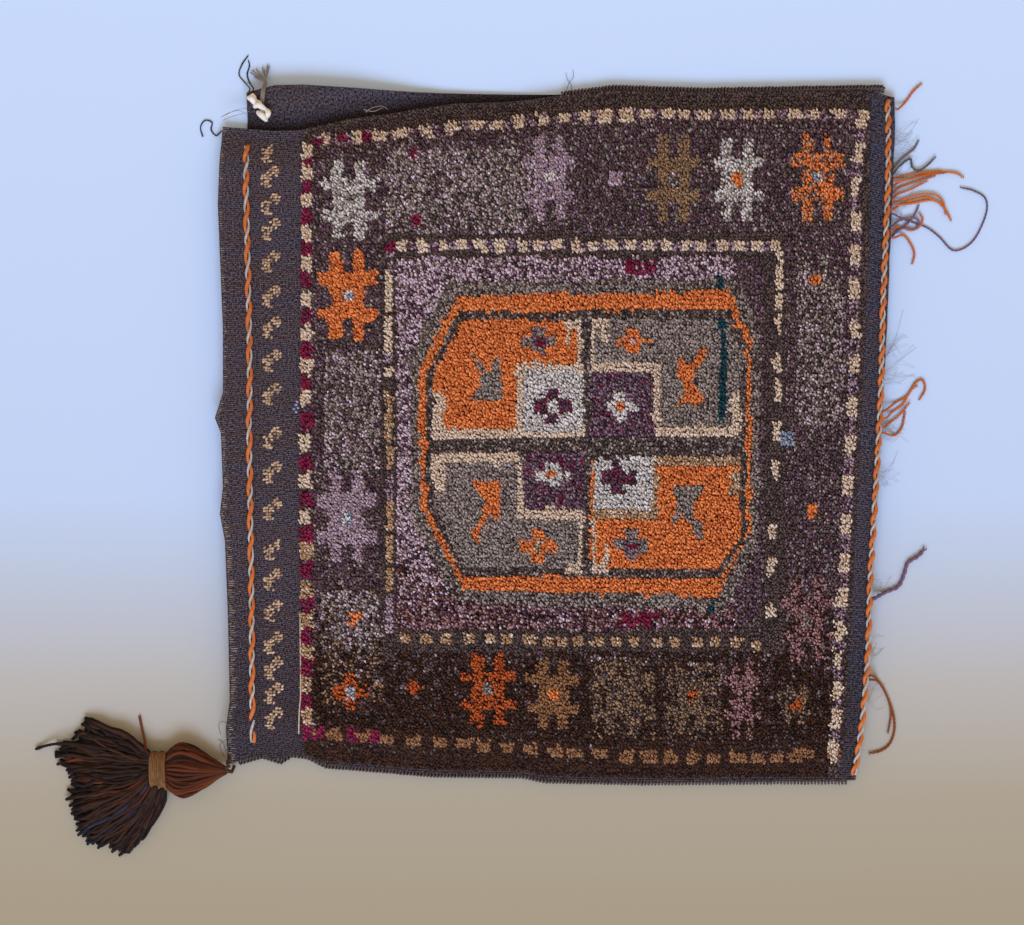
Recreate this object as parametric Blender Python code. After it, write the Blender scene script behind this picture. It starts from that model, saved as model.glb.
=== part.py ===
"""Kilim saddle bag: one pocket of a woven pair, lying flat with its pile face up and its mouth at -X.

The cloth is drawn flat first, as it leaves the loom. u runs along the warps from the front's mouth edge,
over the bottom fold, to the back wall's mouth edge. v runs across them, from the lower side to the upper.
w is the height above the inner face. It is then folded into the pocket by place_on_cloth. Metres, +Z up.
The origin is on the underside of the back wall, in the middle of the pocket.
"""

import math

import bmesh
import bpy
import numpy as np
from mathutils import Matrix, Vector

for old in list(bpy.data.objects):
    bpy.data.objects.remove(old, do_unlink=True)

# Driving dimensions of the pocket
pocket_depth = 0.573  # mouth edge to bottom fold, along the upper side
cloth_width = 0.589  # side to side, at the fold
ground_thickness = 0.003  # weft-faced ground weave
pile_height = 0.0035  # knotted pile above the ground
relief_step = 0.0005  # one field of colour above the one it lies in
pocket_gap = 0.010  # slack between the walls in the middle of the pocket
fold_gap = 0.007  # between the walls at the bottom fold
edge_gap = 0.0012  # between the walls at the sides
side_shoulder = 0.040  # over which the front wall comes down to each side
fold_shoulder = 0.110  # over which the gap grows from the fold to the middle
fold_skew = 0.033  # the fold's lower end lies this much nearer the mouth
fold_bow = 1.4  # power of the fold line's curve: 1 is straight
back_mouth_step = 0.021  # the back wall's mouth edge lies this far behind the front's
back_upper_step = 0.004  # the back wall's upper side lies this far inside the full width
seam_open_length = 0.296  # undone part of the upper seam, from the mouth
curl_share = 0.32  # rise of the back wall's free rim, against the width that shows

# How far the front wall's sides have crept in from the full width: distance from the mouth, creep
upper_creep = [
    (0.0, 0.032),
    (0.070, 0.034),
    (0.104, 0.027),
    (0.160, 0.018),
    (0.240, 0.010),
    (0.325, 0.0),
]
lower_creep = [
    (0.0, 0.012),
    (0.035, 0.022),
    (0.070, 0.021),
    (0.104, 0.012),
    (0.240, 0.005),
    (0.325, 0.0),
]
# How far the mouth edge wanders from a straight line: distance from the lower side, shift
mouth_creep = [
    (0.0, 0.004),
    (0.060, 0.0075),
    (0.140, 0.006),
    (0.250, 0.0017),
    (0.306, 0.0),
    (0.320, -0.004),
    (0.342, 0.0017),
    (0.400, 0.0017),
    (0.515, -0.0025),
    (0.589, 0.0),
]

# Layout of the pile face, along the warps and across them
strip_depth = 0.067  # flatwoven strip at the mouth
fold_band = 0.020  # flatwoven band along the fold
side_band = 0.007  # flatwoven selvedge at each side
rib_pitch = 0.0125  # ribs of the flatwoven strip
rib_height = 0.0008
rib_margin = 0.004
outer_guard_inset = 0.0225  # centre line of the outer guard, from each side
outer_guard_from_fold = 0.029
outer_guard_from_strip = 0.005
outer_guard_pitch = 0.018
outer_guard_square = 0.010
side_guard_pitch = 0.0285
side_guard_dash = 0.016
inner_guard_from_strip = 0.074
inner_guard_from_fold = 0.095
inner_guard_from_sides = 0.122
inner_guard_pitch = 0.0158
inner_guard_square = 0.009
inner_guard_width = 0.006
inner_dash_pitch = 0.031
inner_dash_length = 0.024

# Motifs of the pile face
star_width = 0.046
star_height = 0.070
star_bar = 0.0085
star_core = 0.0065
flower_size = 0.028
octagon_width = 0.288
octagon_height = 0.260
octagon_cut_along = 0.028
octagon_cut_across = 0.058
ring_along = 0.008
ring_across = 0.013
ring_gap = 0.006
quarter_bar_along = 0.008  # dark bar between the left and right quarters
quarter_bar_across = 0.017  # dark bar between the upper and lower quarters
centre_square = 0.050
step_width = 0.006
step_gap = 0.002
animal_length = 0.042
animal_width = 0.025
animal_rise = 0.028  # its foot, above the lower edge of its quarter
small_flower_shift = 0.012  # the quarter's small flower, further out than its square

# Seams, twining, tassel and loose yarn
seam_radius = 0.0024
seam_wrap = 0.015  # one wrap of the overcasting along the side
seam_end_margin = 0.012
strand_radius = 0.0012
strand_turn = 0.043  # one full turn of a twined pair
mouth_twining_from_edge = 0.024
mouth_twining_margin = 0.018
yarn_radius = 0.0012
thread_radius = 0.0005
clearance = 0.0003  # between two pieces that touch
bow_clearance = 0.0006  # added under yarn on the front wall, whose facets bow up to this much
tassel_head_length = 0.050
tassel_head_radius = 0.024
tassel_neck_radius = 0.003
tassel_waist_radius = 0.0135
tassel_flatness = 0.42  # height of the lying tassel against its width
binding_length = 0.015
binding_thickness = 0.0022
binding_turns = 5
lock_radius = 0.0042
lock_tip_radius = 0.0015
lock_bow = 0.007  # how far a lock bows out along the tassel, midway
waist_length = 0.006  # bare waist between the binding and the skirt
skirt_core_length = 0.034  # solid heart of the skirt, from which the locks part
skirt_core_swell = 1.30  # its thickest part against the waist


def colour(red, green, blue):
    """A linear colour from one written as 0 to 255."""
    shares = [c / 255 for c in (red, green, blue)]
    return [c / 12.92 if c <= 0.04045 else ((c + 0.055) / 1.055) ** 2.4 for c in shares] + [1.0]


def wool(name, shade, roughness=0.9):
    material = bpy.data.materials.new(name)
    material.use_nodes = True
    shader = material.node_tree.nodes["Principled BSDF"]
    shader.inputs["Base Color"].default_value = shade
    shader.inputs["Roughness"].default_value = roughness
    shader.inputs["Metallic"].default_value = 0.0
    material.diffuse_color = shade
    return material


ground_wool = wool("dark_brown_ground", colour(62, 52, 50))
pile_wool = wool("mauve_pile", colour(120, 98, 104))
orange_wool = wool("orange_wool", colour(205, 100, 40))
cream_wool = wool("cream_wool", colour(205, 182, 150))
ivory_wool = wool("ivory_wool", colour(190, 185, 180))
taupe_wool = wool("taupe_wool", colour(115, 100, 90))
lilac_wool = wool("lilac_wool", colour(160, 140, 165))
aubergine_wool = wool("aubergine_wool", colour(75, 50, 60))
crimson_wool = wool("crimson_wool", colour(130, 30, 65))
gold_wool = wool("gold_brown_wool", colour(130, 100, 65))
grey_wool = wool("grey_wool", colour(120, 118, 122))
seam_wool = wool("seam_wool", colour(58, 46, 42))
tassel_wool = wool("tassel_wool", colour(75, 50, 38))
rust_wool = wool("rust_wool", colour(140, 80, 45))
tan_wool = wool("tan_wool", colour(150, 120, 90))
thread_cotton = wool("thread_cotton", colour(40, 36, 38))
white_cotton = wool("white_cotton", colour(215, 210, 200))

parts = bpy.data.collections.new("kilim_saddle_bag")
shapes = bpy.data.collections.new("relief_shapes")
for collection in (parts, shapes):
    bpy.context.scene.collection.children.link(collection)


def smooth(share):
    """0 to 1 with level ends."""
    share = min(1.0, max(0.0, share))
    return share * share * (3 - 2 * share)


def read(points, distance):
    return float(np.interp(distance, *zip(*points)))


# The fold's sizes, and the stretches of the flat cloth
fold_reach = fold_gap / 2 + ground_thickness
front_run = pocket_depth - fold_reach
fold_run = math.pi * (fold_gap + ground_thickness) / 2
back_run = front_run - back_mouth_step
cloth_length = front_run + fold_run + back_run
pile_top = ground_thickness + pile_height


def wall_gap(u, v):
    """Clear height between the walls, u from the mouth."""
    from_fold = smooth((front_run - u) / fold_shoulder)
    middle = fold_gap + (pocket_gap - fold_gap) * from_fold
    from_side = smooth(min(v, cloth_width - v) / side_shoulder)
    return edge_gap + (middle - edge_gap) * from_side


def front_sides(u):
    """Y of the front wall's lower and upper sides."""
    return -cloth_width / 2 + read(lower_creep, u), cloth_width / 2 - read(upper_creep, u)


def back_sides(from_mouth):
    """Y of the back wall's sides. The lower is sewn to the front's, and the upper is free near the mouth."""
    lower, upper = front_sides(from_mouth)
    if from_mouth < seam_open_length:
        upper = max(upper, cloth_width / 2 - back_upper_step)
    return lower, upper


def mouth_x(v):
    return -pocket_depth / 2 + read(mouth_creep, v)


def fold_x(v):
    """Outermost X of the fold."""
    return pocket_depth / 2 - fold_skew * max(0.0, 1 - v / cloth_width) ** fold_bow


def bend_x(v):
    """X at which the bend of the fold starts."""
    return fold_x(v) - wall_gap(front_run, v) / 2 - ground_thickness


def rim_lift(from_mouth, y):
    """Rise of the back wall's free rim, which curls up beyond the front wall's side."""
    front_upper = front_sides(from_mouth)[1]
    shown = back_sides(from_mouth)[1] - front_upper
    if from_mouth >= seam_open_length or shown <= 0:
        return 0.0
    return curl_share * shown * smooth((y - front_upper) / shown)


def place_on_cloth(u, v, w):
    """World place of a point of the flat cloth, w above the inner face."""
    share = v / cloth_width
    gap = wall_gap(min(u, front_run), v)
    if u <= front_run:
        lower, upper = front_sides(u)
        x = mouth_x(v) + (bend_x(v) - mouth_x(v)) * u / front_run
        return Vector((x, lower + (upper - lower) * share, ground_thickness + gap + w))
    if u < front_run + fold_run:
        lower, upper = front_sides(front_run)
        turn = math.pi * (0.5 - (u - front_run) / fold_run)
        return Vector(
            (
                bend_x(v) + (gap / 2 + w) * math.cos(turn),
                lower + (upper - lower) * share,
                ground_thickness + gap / 2 + (gap / 2 + w) * math.sin(turn),
            )
        )
    along = (u - front_run - fold_run) / back_run
    from_mouth = back_mouth_step + (1 - along) * back_run
    lower, upper = back_sides(from_mouth)
    y = lower + (upper - lower) * share
    back_mouth = mouth_x(v) + back_mouth_step
    return Vector(
        (
            bend_x(v) + (back_mouth - bend_x(v)) * along,
            y,
            ground_thickness - w + rim_lift(from_mouth, y),
        )
    )


# Outlines of the motifs, in flat cloth coordinates


def rectangle(u0, u1, v0, v1):
    return [(u0, v0), (u1, v0), (u1, v1), (u0, v1)]


def block(u, v, along, across):
    return rectangle(u - along / 2, u + along / 2, v - across / 2, v + across / 2)


def mirrored(outline, u, v, flip_u=1, flip_v=1):
    return [(u + flip_u * a, v + flip_v * b) for a, b in outline]


def hash_star(u, v):
    """Two uprights crossed by two bars, with a filled middle."""
    end_u, end_v = star_width / 2, star_height / 2
    outer_u, outer_v = end_u - star_bar, end_v - 1.7 * star_bar
    inner_u, inner_v = outer_u - star_bar, outer_v - star_bar
    corner = [
        (end_u, inner_v),
        (end_u, outer_v),
        (outer_u, outer_v),
        (outer_u, end_v),
        (inner_u, end_v),
        (inner_u, outer_v),
    ]
    quarter = [(outer_u, inner_v), *corner]
    ring = quarter
    ring = ring + [(-a, b) for a, b in reversed(quarter)]
    ring = ring + [(-a, -b) for a, b in quarter]
    ring = ring + [(a, -b) for a, b in reversed(quarter)]
    return mirrored(ring, u, v)


def flower(u, v, size):
    """Four blunt petals on the axes."""
    tip, side, waist = size / 2, size / 5, size / 8
    quarter = [(tip, side), (side + waist, side + waist), (side, tip)]
    outline = quarter
    outline = outline + [(-a, b) for a, b in reversed(quarter)]
    outline = outline + [(-a, -b) for a, b in quarter]
    outline = outline + [(a, -b) for a, b in reversed(quarter)]
    return mirrored(outline, u, v)


def animal(u, v, flip_u, flip_v):
    """A stylised beast: broad foot, narrow body, and two ears at the head."""
    half_l, half_w = animal_length / 2, animal_width / 2
    outline = [
        (-half_w, -half_l),
        (half_w, -half_l),
        (half_w, -0.55 * half_l),
        (0.35 * half_w, -0.35 * half_l),
        (0.35 * half_w, 0.25 * half_l),
        (half_w, 0.25 * half_l),
        (half_w, 0.6 * half_l),
        (0.5 * half_w, half_l),
        (0.2 * half_w, 0.65 * half_l),
        (-0.2 * half_w, 0.65 * half_l),
        (-0.5 * half_w, half_l),
        (-half_w, 0.25 * half_l),
        (-0.5 * half_w, -0.4 * half_l),
        (-half_w, -0.55 * half_l),
    ]
    return mirrored(outline, u, v, flip_u, flip_v)


def octagon(u, v, along, across, cut_along, cut_across):
    a, b = along / 2, across / 2
    corner = [(a, b - cut_across), (a - cut_along, b)]
    ring = corner
    ring = ring + [(-p, q) for p, q in reversed(corner)]
    ring = ring + [(-p, -q) for p, q in corner]
    ring = ring + [(p, -q) for p, q in reversed(corner)]
    return mirrored(ring, u, v)


def row(start, end, pitch):
    """Places spaced by about pitch from start to end."""
    count = max(1, round((end - start) / pitch))
    return [start + (end - start) * (k + 0.5) / count for k in range(count)]


# Lines of the layout, worked out from the sizes above
pile_u0, pile_u1 = strip_depth, pocket_depth - fold_band
pile_v0, pile_v1 = side_band, cloth_width - side_band
field_u0, field_u1 = strip_depth + inner_guard_from_strip, pocket_depth - inner_guard_from_fold
field_v0, field_v1 = inner_guard_from_sides, cloth_width - inner_guard_from_sides
centre_u, centre_v = (field_u0 + field_u1) / 2, (field_v0 + field_v1) / 2
guard_v0, guard_v1 = outer_guard_inset, cloth_width - outer_guard_inset
guard_u0, guard_u1 = strip_depth + outer_guard_from_strip, pocket_depth - outer_guard_from_fold
upper_border_v = (field_v1 + cloth_width) / 2 - 0.016
lower_border_v = field_v0 / 2 + 0.014
mouth_border_u = (field_u0 + strip_depth) / 2 + 0.002
fold_border_u = (field_u1 + guard_u1) / 2
quarter_u = octagon_width / 2 - ring_along - ring_gap
quarter_v = octagon_height / 2 - ring_across - ring_gap

relief = []  # outlines, material, steps above the pile


def add_relief(outlines, material, steps):
    relief.append((outlines, material, steps))


# Outer guard: squares along the sides, dashes along the strip and the fold
dashes = row(guard_v0, guard_v1, side_guard_pitch)
squares = row(guard_u0, guard_u1, outer_guard_pitch)[1:-1]
guard_dash_width = outer_guard_square * 0.8
for v in (guard_v0, guard_v1):
    add_relief([block(u, v, outer_guard_square, outer_guard_square) for u in squares], cream_wool, 1)
add_relief([block(guard_u0, v, guard_dash_width, side_guard_dash) for v in dashes], crimson_wool, 1)
add_relief([block(guard_u1, v, guard_dash_width, side_guard_dash) for v in dashes], ivory_wool, 1)

# Inner guard: squares above and below the field, long dashes beside it
inner_squares = row(field_u0, field_u1, inner_guard_pitch)
inner_dashes = row(field_v0 + inner_guard_pitch, field_v1 - inner_guard_pitch, inner_dash_pitch)
for v, square_wool in ((field_v1, cream_wool), (field_v0, tan_wool)):
    add_relief([block(u, v, inner_guard_square, inner_guard_width) for u in inner_squares], square_wool, 1)
for u in (field_u0, field_u1):
    add_relief([block(u, v, inner_guard_width, inner_dash_length) for v in inner_dashes], lilac_wool, 1)

# Hash-shaped stars of the border, each with a small core, measured from the nearest border line
stars = [
    (strip_depth + 0.041, upper_border_v, ivory_wool, orange_wool),
    (strip_depth + 0.212, upper_border_v, lilac_wool, ivory_wool),
    (strip_depth + 0.317, upper_border_v, gold_wool, orange_wool),
    (strip_depth + 0.372, upper_border_v, ivory_wool, orange_wool),
    (fold_border_u, upper_border_v, orange_wool, ivory_wool),
    (mouth_border_u, field_v1 - 0.040, orange_wool, grey_wool),
    (mouth_border_u, centre_v - 0.062, lilac_wool, grey_wool),
    (strip_depth + 0.161, lower_border_v, orange_wool, grey_wool),
    (strip_depth + 0.217, lower_border_v, cream_wool, orange_wool),
    (strip_depth + 0.275, lower_border_v, taupe_wool, orange_wool),
    (fold_border_u, field_v0 + 0.018, lilac_wool, gold_wool),
]
for u, v, body, core in stars:
    add_relief([hash_star(u, v)], body, 1)
    add_relief([block(u, v, star_core, star_core)], core, 2)
add_relief([flower(mouth_border_u, lower_border_v, flower_size)], orange_wool, 1)

# Octagon: its ring, then four quarters with a square, a stepped edge, a beast and a flower in each
ring_outer = octagon(
    centre_u,
    centre_v,
    octagon_width,
    octagon_height,
    octagon_cut_along,
    octagon_cut_across,
)
ring_inner = octagon(
    centre_u,
    centre_v,
    octagon_width - 2 * ring_along,
    octagon_height - 2 * ring_across,
    octagon_cut_along - ring_along / 2,
    octagon_cut_across - ring_across / 2,
)
add_relief([ring_outer, ring_inner], orange_wool, 1)
for side_u in (-1, 1):
    for side_v in (-1, 1):
        if side_u != side_v:
            quarter_wool, figure_wool = orange_wool, taupe_wool
            square_wool, petal_wool = ivory_wool, lilac_wool
        else:
            quarter_wool, figure_wool = taupe_wool, orange_wool
            square_wool, petal_wool = aubergine_wool, ivory_wool
        start_u, start_v = quarter_bar_along / 2, quarter_bar_across / 2
        quarter = [
            (start_u, start_v),
            (quarter_u, start_v),
            (quarter_u, quarter_v - octagon_cut_across + ring_across),
            (quarter_u - octagon_cut_along + ring_along, quarter_v),
            (start_u, quarter_v),
        ]
        add_relief([mirrored(quarter, centre_u, centre_v, side_u, side_v)], quarter_wool, 1)
        square_mid_u = start_u + step_gap + centre_square / 2
        square_mid_v = start_v + step_gap + centre_square / 2
        u, v = centre_u + side_u * square_mid_u, centre_v + side_v * square_mid_v
        add_relief([block(u, v, centre_square, centre_square)], square_wool, 2)
        add_relief([flower(u, v, flower_size)], petal_wool, 3)
        near = start_u + step_gap
        far_u = near + centre_square + step_gap
        low = start_v + step_gap
        far_v = low + centre_square + step_gap
        step = [
            (far_u, low),
            (far_u + step_width, low),
            (far_u + step_width, far_v + step_width),
            (near, far_v + step_width),
            (near, far_v),
            (far_u, far_v),
        ]
        add_relief([mirrored(step, centre_u, centre_v, side_u, side_v)], cream_wool, 2)
        beast_u = centre_u + side_u * (far_u + step_width + quarter_u) / 2
        beast_v = centre_v + side_v * (start_v + step_gap + animal_length / 2 + animal_rise)
        add_relief([animal(beast_u, beast_v, 1, side_v)], figure_wool, 2)
        small_u = centre_u + side_u * (square_mid_u + small_flower_shift)
        small_v = centre_v + side_v * (far_v + step_width + quarter_v) / 2
        add_relief([flower(small_u, small_v, flower_size * 0.8)], figure_wool, 2)


def flat_shape(outlines, material, low, high):
    """Closed outlines as a filled 2D curve, drawn up from low to high, and made a mesh."""
    outline_curve = bpy.data.curves.new("shape", "CURVE")
    outline_curve.dimensions = "2D"
    outline_curve.fill_mode = "BOTH"
    outline_curve.extrude = (high - low) / 2
    for outline in outlines:
        spline = outline_curve.splines.new("POLY")
        spline.points.add(len(outline) - 1)
        for point, (u, v) in zip(spline.points, outline):
            point.co = (u, v, 0, 1)
        spline.use_cyclic_u = True
    drawn = bpy.data.objects.new("shape", outline_curve)
    drawn.location.z = (low + high) / 2
    shapes.objects.link(drawn)
    bpy.context.view_layer.update()
    mesh = bpy.data.meshes.new_from_object(drawn.evaluated_get(bpy.context.evaluated_depsgraph_get()))
    mesh.transform(drawn.matrix_world)
    bpy.data.objects.remove(drawn, do_unlink=True)
    weld(mesh)
    mesh.materials.clear()
    mesh.materials.append(material)
    solid = bpy.data.objects.new("shape", mesh)
    solid.hide_render = True
    solid.display_type = "WIRE"
    shapes.objects.link(solid)
    return solid


def weld(mesh):
    work = bmesh.new()
    work.from_mesh(mesh)
    bmesh.ops.remove_doubles(work, verts=work.verts, dist=1e-6)
    bmesh.ops.recalc_face_normals(work, faces=work.faces)
    work.to_mesh(mesh)
    work.free()


def joined(base, pieces):
    """Base with the pieces united to it, as a new mesh. The pieces are used up."""
    for piece in pieces:
        union = base.modifiers.new("join", "BOOLEAN")
        union.operation = "UNION"
        union.solver = "MANIFOLD"
        union.material_mode = "TRANSFER"
        union.object = piece
    bpy.context.view_layer.update()
    mesh = bpy.data.meshes.new_from_object(base.evaluated_get(bpy.context.evaluated_depsgraph_get()))
    for piece in [base, *pieces]:
        bpy.data.objects.remove(piece, do_unlink=True)
    return mesh


def cut_lines(mesh, along, across):
    """Adds edges to the flat cloth on the lines at which it bends, and splits its faces into triangles."""
    work = bmesh.new()
    work.from_mesh(mesh)
    for places, axis in ((along, 0), (across, 1)):
        for place in places:
            at = Vector((0, 0, 0))
            at[axis] = place
            normal = Vector((0, 0, 0))
            normal[axis] = 1
            bmesh.ops.bisect_plane(
                work,
                geom=[*work.verts, *work.edges, *work.faces],
                plane_co=at,
                plane_no=normal,
                dist=1e-6,
            )
    bmesh.ops.triangulate(work, faces=work.faces)
    work.to_mesh(mesh)
    work.free()


# The flat cloth: ground, ribs of the strip, pile and its fields of colour
bpy.ops.mesh.primitive_cube_add(size=1)
ground = bpy.context.active_object
ground_size = Vector((cloth_length, cloth_width, ground_thickness))
ground.data.transform(Matrix.LocRotScale(ground_size / 2, None, ground_size))
ground.data.materials.append(ground_wool)
sunk = ground_thickness - 0.001  # relief starts this far inside what carries it
rib_places = row(rib_margin, cloth_width - rib_margin, rib_pitch)
rib_half = rib_pitch * 0.3
rib_end = strip_depth + 0.001
ribs = [rectangle(rib_margin, rib_end, v - rib_half, v + rib_half) for v in rib_places]
layers = [flat_shape(ribs, ground_wool, sunk, ground_thickness + rib_height)]
pile_face = rectangle(pile_u0, pile_u1, pile_v0, pile_v1)
layers.append(flat_shape([pile_face], pile_wool, sunk, pile_top))
for outlines, material, steps in relief:
    layers.append(flat_shape(outlines, material, pile_top - 0.001, pile_top + steps * relief_step))
cloth_mesh = joined(ground, layers)
flat_step = 0.074
side_knots = sorted({u for u, creep in upper_creep + lower_creep if u > 0})
bends = [front_run + fold_run * k / 7 for k in range(8)]
front_lines = side_knots + [side_knots[-1] + flat_step * k for k in range(1, 4)]
back_lines = [u for u in side_knots + [seam_open_length] if u > back_mouth_step]
along_lines = front_lines + bends + [front_run + fold_run + front_run - u for u in back_lines]
side_steps = [side_shoulder * share for share in (0.30, 0.74, 1.10)]
across_lines = side_steps + [cloth_width - s for s in side_steps]
across_lines += row(2 * side_shoulder, cloth_width - 2 * side_shoulder, 1.6 * flat_step)
cut_lines(cloth_mesh, along_lines, across_lines)
for vertex in cloth_mesh.vertices:
    vertex.co = place_on_cloth(*vertex.co)
cloth_mesh.update()
cloth = bpy.data.objects.new("bag_cloth", cloth_mesh)
parts.objects.link(cloth)


# Cords and yarns: smooth routes made into round tubes


def smooth_route(points, spacing):
    """Places about spacing apart on a Catmull-Rom curve through the points."""
    knots = [Vector(p) for p in points]
    ends = [2 * knots[0] - knots[1], *knots, 2 * knots[-1] - knots[-2]]
    places = []
    for k in range(1, len(ends) - 2):
        before, start, end, after = ends[k - 1 : k + 3]
        steps = max(1, round((end - start).length / spacing))
        for step in range(steps):
            s = step / steps
            place = 2 * start + (end - before) * s
            place += (2 * before - 5 * start + 4 * end - after) * s**2
            place += (3 * start - before - 3 * end + after) * s**3
            places.append(place / 2)
    return places + [knots[-1]]


def tube(name, places, radius, material, radii=None, resolution=2):
    """A closed round tube along the places. radii scale it from place to place."""
    route = bpy.data.curves.new(name, "CURVE")
    route.dimensions = "3D"
    route.bevel_depth = radius
    route.bevel_resolution = resolution
    route.use_fill_caps = True
    spline = route.splines.new("POLY")
    spline.points.add(len(places) - 1)
    for k, place in enumerate(places):
        spline.points[k].co = (*place, 1)
        spline.points[k].radius = radii[k] if radii else 1.0
    route.materials.append(material)
    cord = bpy.data.objects.new(name, route)
    parts.objects.link(cord)
    return cord


# Overcast side seams: a thick wool wrapped round both edges, one bulge for each wrap


def overcast_seam(name, start, end, upper):
    count = round((end - start) / seam_wrap) * 2
    places, radii = [], []
    for k in range(count + 1):
        u = start + (end - start) * k / count
        v = cloth_width if upper else 0.0
        edge = place_on_cloth(u, v, 0.0)
        outward = seam_radius + clearance
        height = ground_thickness + edge_gap / 2
        places.append(Vector((edge.x, edge.y + (outward if upper else -outward), height)))
        radii.append(1.0 if k % 2 else 0.78)
    tube(name, places, seam_radius, seam_wool, radii, resolution=1)


seam_end = front_run - seam_end_margin
overcast_seam("seam_lower", seam_end_margin, seam_end, upper=False)
overcast_seam("seam_upper", seam_open_length, seam_end, upper=True)


# Twining: two strands turned round each other, laid across the warps


def twined_pair(names, materials, u, under, start, end):
    """Both strands at u from the mouth, from start to end across the cloth, lying on what is under high."""
    steps_in_turn = 5
    swing = (strand_radius + clearance / 2) / math.cos(math.pi / steps_in_turn)
    count = round((end - start) / strand_turn * steps_in_turn)
    for strand, (name, material) in enumerate(zip(names, materials)):
        places = []
        for k in range(count + 1):
            v = start + (end - start) * k / count
            turn = 2 * math.pi * k / steps_in_turn + math.pi * strand
            middle = under + clearance + bow_clearance + swing + strand_radius
            places.append(place_on_cloth(u + swing * math.cos(turn), v, middle + swing * math.sin(turn)))
        tube(name, places, strand_radius, material, resolution=0)


fold_twining_u = front_run - 3 * strand_radius
twined_pair(
    ("mouth_twining_orange", "mouth_twining_grey"),
    (orange_wool, grey_wool),
    mouth_twining_from_edge,
    ground_thickness + rib_height,
    mouth_twining_margin,
    cloth_width - mouth_twining_margin,
)
twined_pair(
    ("fold_twining_orange", "fold_twining_cream"),
    (orange_wool, cream_wool),
    fold_twining_u,
    ground_thickness,
    mouth_twining_margin / 2,
    cloth_width - mouth_twining_margin / 2,
)

# Tassel, lying on its side beyond the lower corner of the mouth. Its own axis runs away from the bag.
tassel_root = place_on_cloth(0.004, 0.0, 0.0) + Vector((-0.004, -0.004, 0.0))
tassel_axis = Vector((-1.0, 0.0, 0.0))
tassel_side = Vector((-tassel_axis.y, tassel_axis.x, 0.0))
tassel_half_height = tassel_head_radius * tassel_flatness


def on_tassel(along, side, height):
    place = tassel_root + tassel_axis * along + tassel_side * side
    return Vector((place.x, place.y, height))


def turned(name, profile, material, segments=16):
    """A profile of distance and radius turned about the tassel's axis, then flattened as it lies."""
    mesh = bpy.data.meshes.new(name)
    work = bmesh.new()
    ring = [work.verts.new((radius, 0, along)) for along, radius in profile]
    for first, second in zip(ring, ring[1:]):
        work.edges.new((first, second))
    bmesh.ops.spin(
        work,
        geom=[*work.verts, *work.edges],
        cent=(0, 0, 0),
        axis=(0, 0, 1),
        angle=2 * math.pi,
        steps=segments,
        use_merge=True,
    )
    bmesh.ops.remove_doubles(work, verts=work.verts, dist=1e-6)
    bmesh.ops.holes_fill(work, edges=[e for e in work.edges if e.is_boundary])
    bmesh.ops.recalc_face_normals(work, faces=work.faces)
    for vertex in work.verts:
        across, up, along = vertex.co
        vertex.co = on_tassel(along, across, tassel_half_height + clearance + up * tassel_flatness)
    bmesh.ops.recalc_face_normals(work, faces=work.faces)
    if work.calc_volume(signed=True) < 0:
        bmesh.ops.reverse_faces(work, faces=work.faces)
    work.to_mesh(mesh)
    work.free()
    mesh.materials.append(material)
    mesh.shade_smooth()
    solid = bpy.data.objects.new(name, mesh)
    parts.objects.link(solid)
    return solid


head_profile = [
    (0.0, 0.0),
    (0.0, tassel_neck_radius),
    (0.12 * tassel_head_length, 0.25 * tassel_head_radius),
    (0.32 * tassel_head_length, 0.55 * tassel_head_radius),
    (0.55 * tassel_head_length, 0.86 * tassel_head_radius),
    (0.75 * tassel_head_length, tassel_head_radius),
    (0.9 * tassel_head_length, 0.88 * tassel_head_radius),
    (tassel_head_length, tassel_waist_radius),
    (tassel_head_length, 0.0),
]
turned("tassel_head", head_profile, rust_wool)

# Binding: turns of tan yarn round the waist of the tassel, bored for the locks
binding_start = tassel_head_length + clearance
binding_bore = tassel_waist_radius + clearance / tassel_flatness
binding_profile = [(binding_start, binding_bore)]
turn_length = binding_length / binding_turns
for k in range(binding_turns):
    binding_profile += [
        (binding_start + turn_length * k, binding_bore + binding_thickness * 0.55),
        (binding_start + turn_length * (k + 0.5), binding_bore + binding_thickness),
    ]
binding_profile += [
    (binding_start + binding_length, binding_bore + binding_thickness * 0.55),
    (binding_start + binding_length, binding_bore),
    (binding_start, binding_bore),
]
turned("tassel_binding", binding_profile, tan_wool)

# Skirt: a round waist inside the binding, from which the locks of yarn fan out over the floor
waist_end = binding_start + binding_length + waist_length
waist_profile = [
    (binding_start, 0.0),
    (binding_start, tassel_waist_radius),
    (waist_end, tassel_waist_radius),
    (waist_end + skirt_core_length / 2, tassel_waist_radius * skirt_core_swell),
    (waist_end + skirt_core_length, tassel_waist_radius * 0.6),
    (waist_end + skirt_core_length, 0.0),
]
waist = turned("tassel_skirt", waist_profile, tassel_wool, segments=10)

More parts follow.
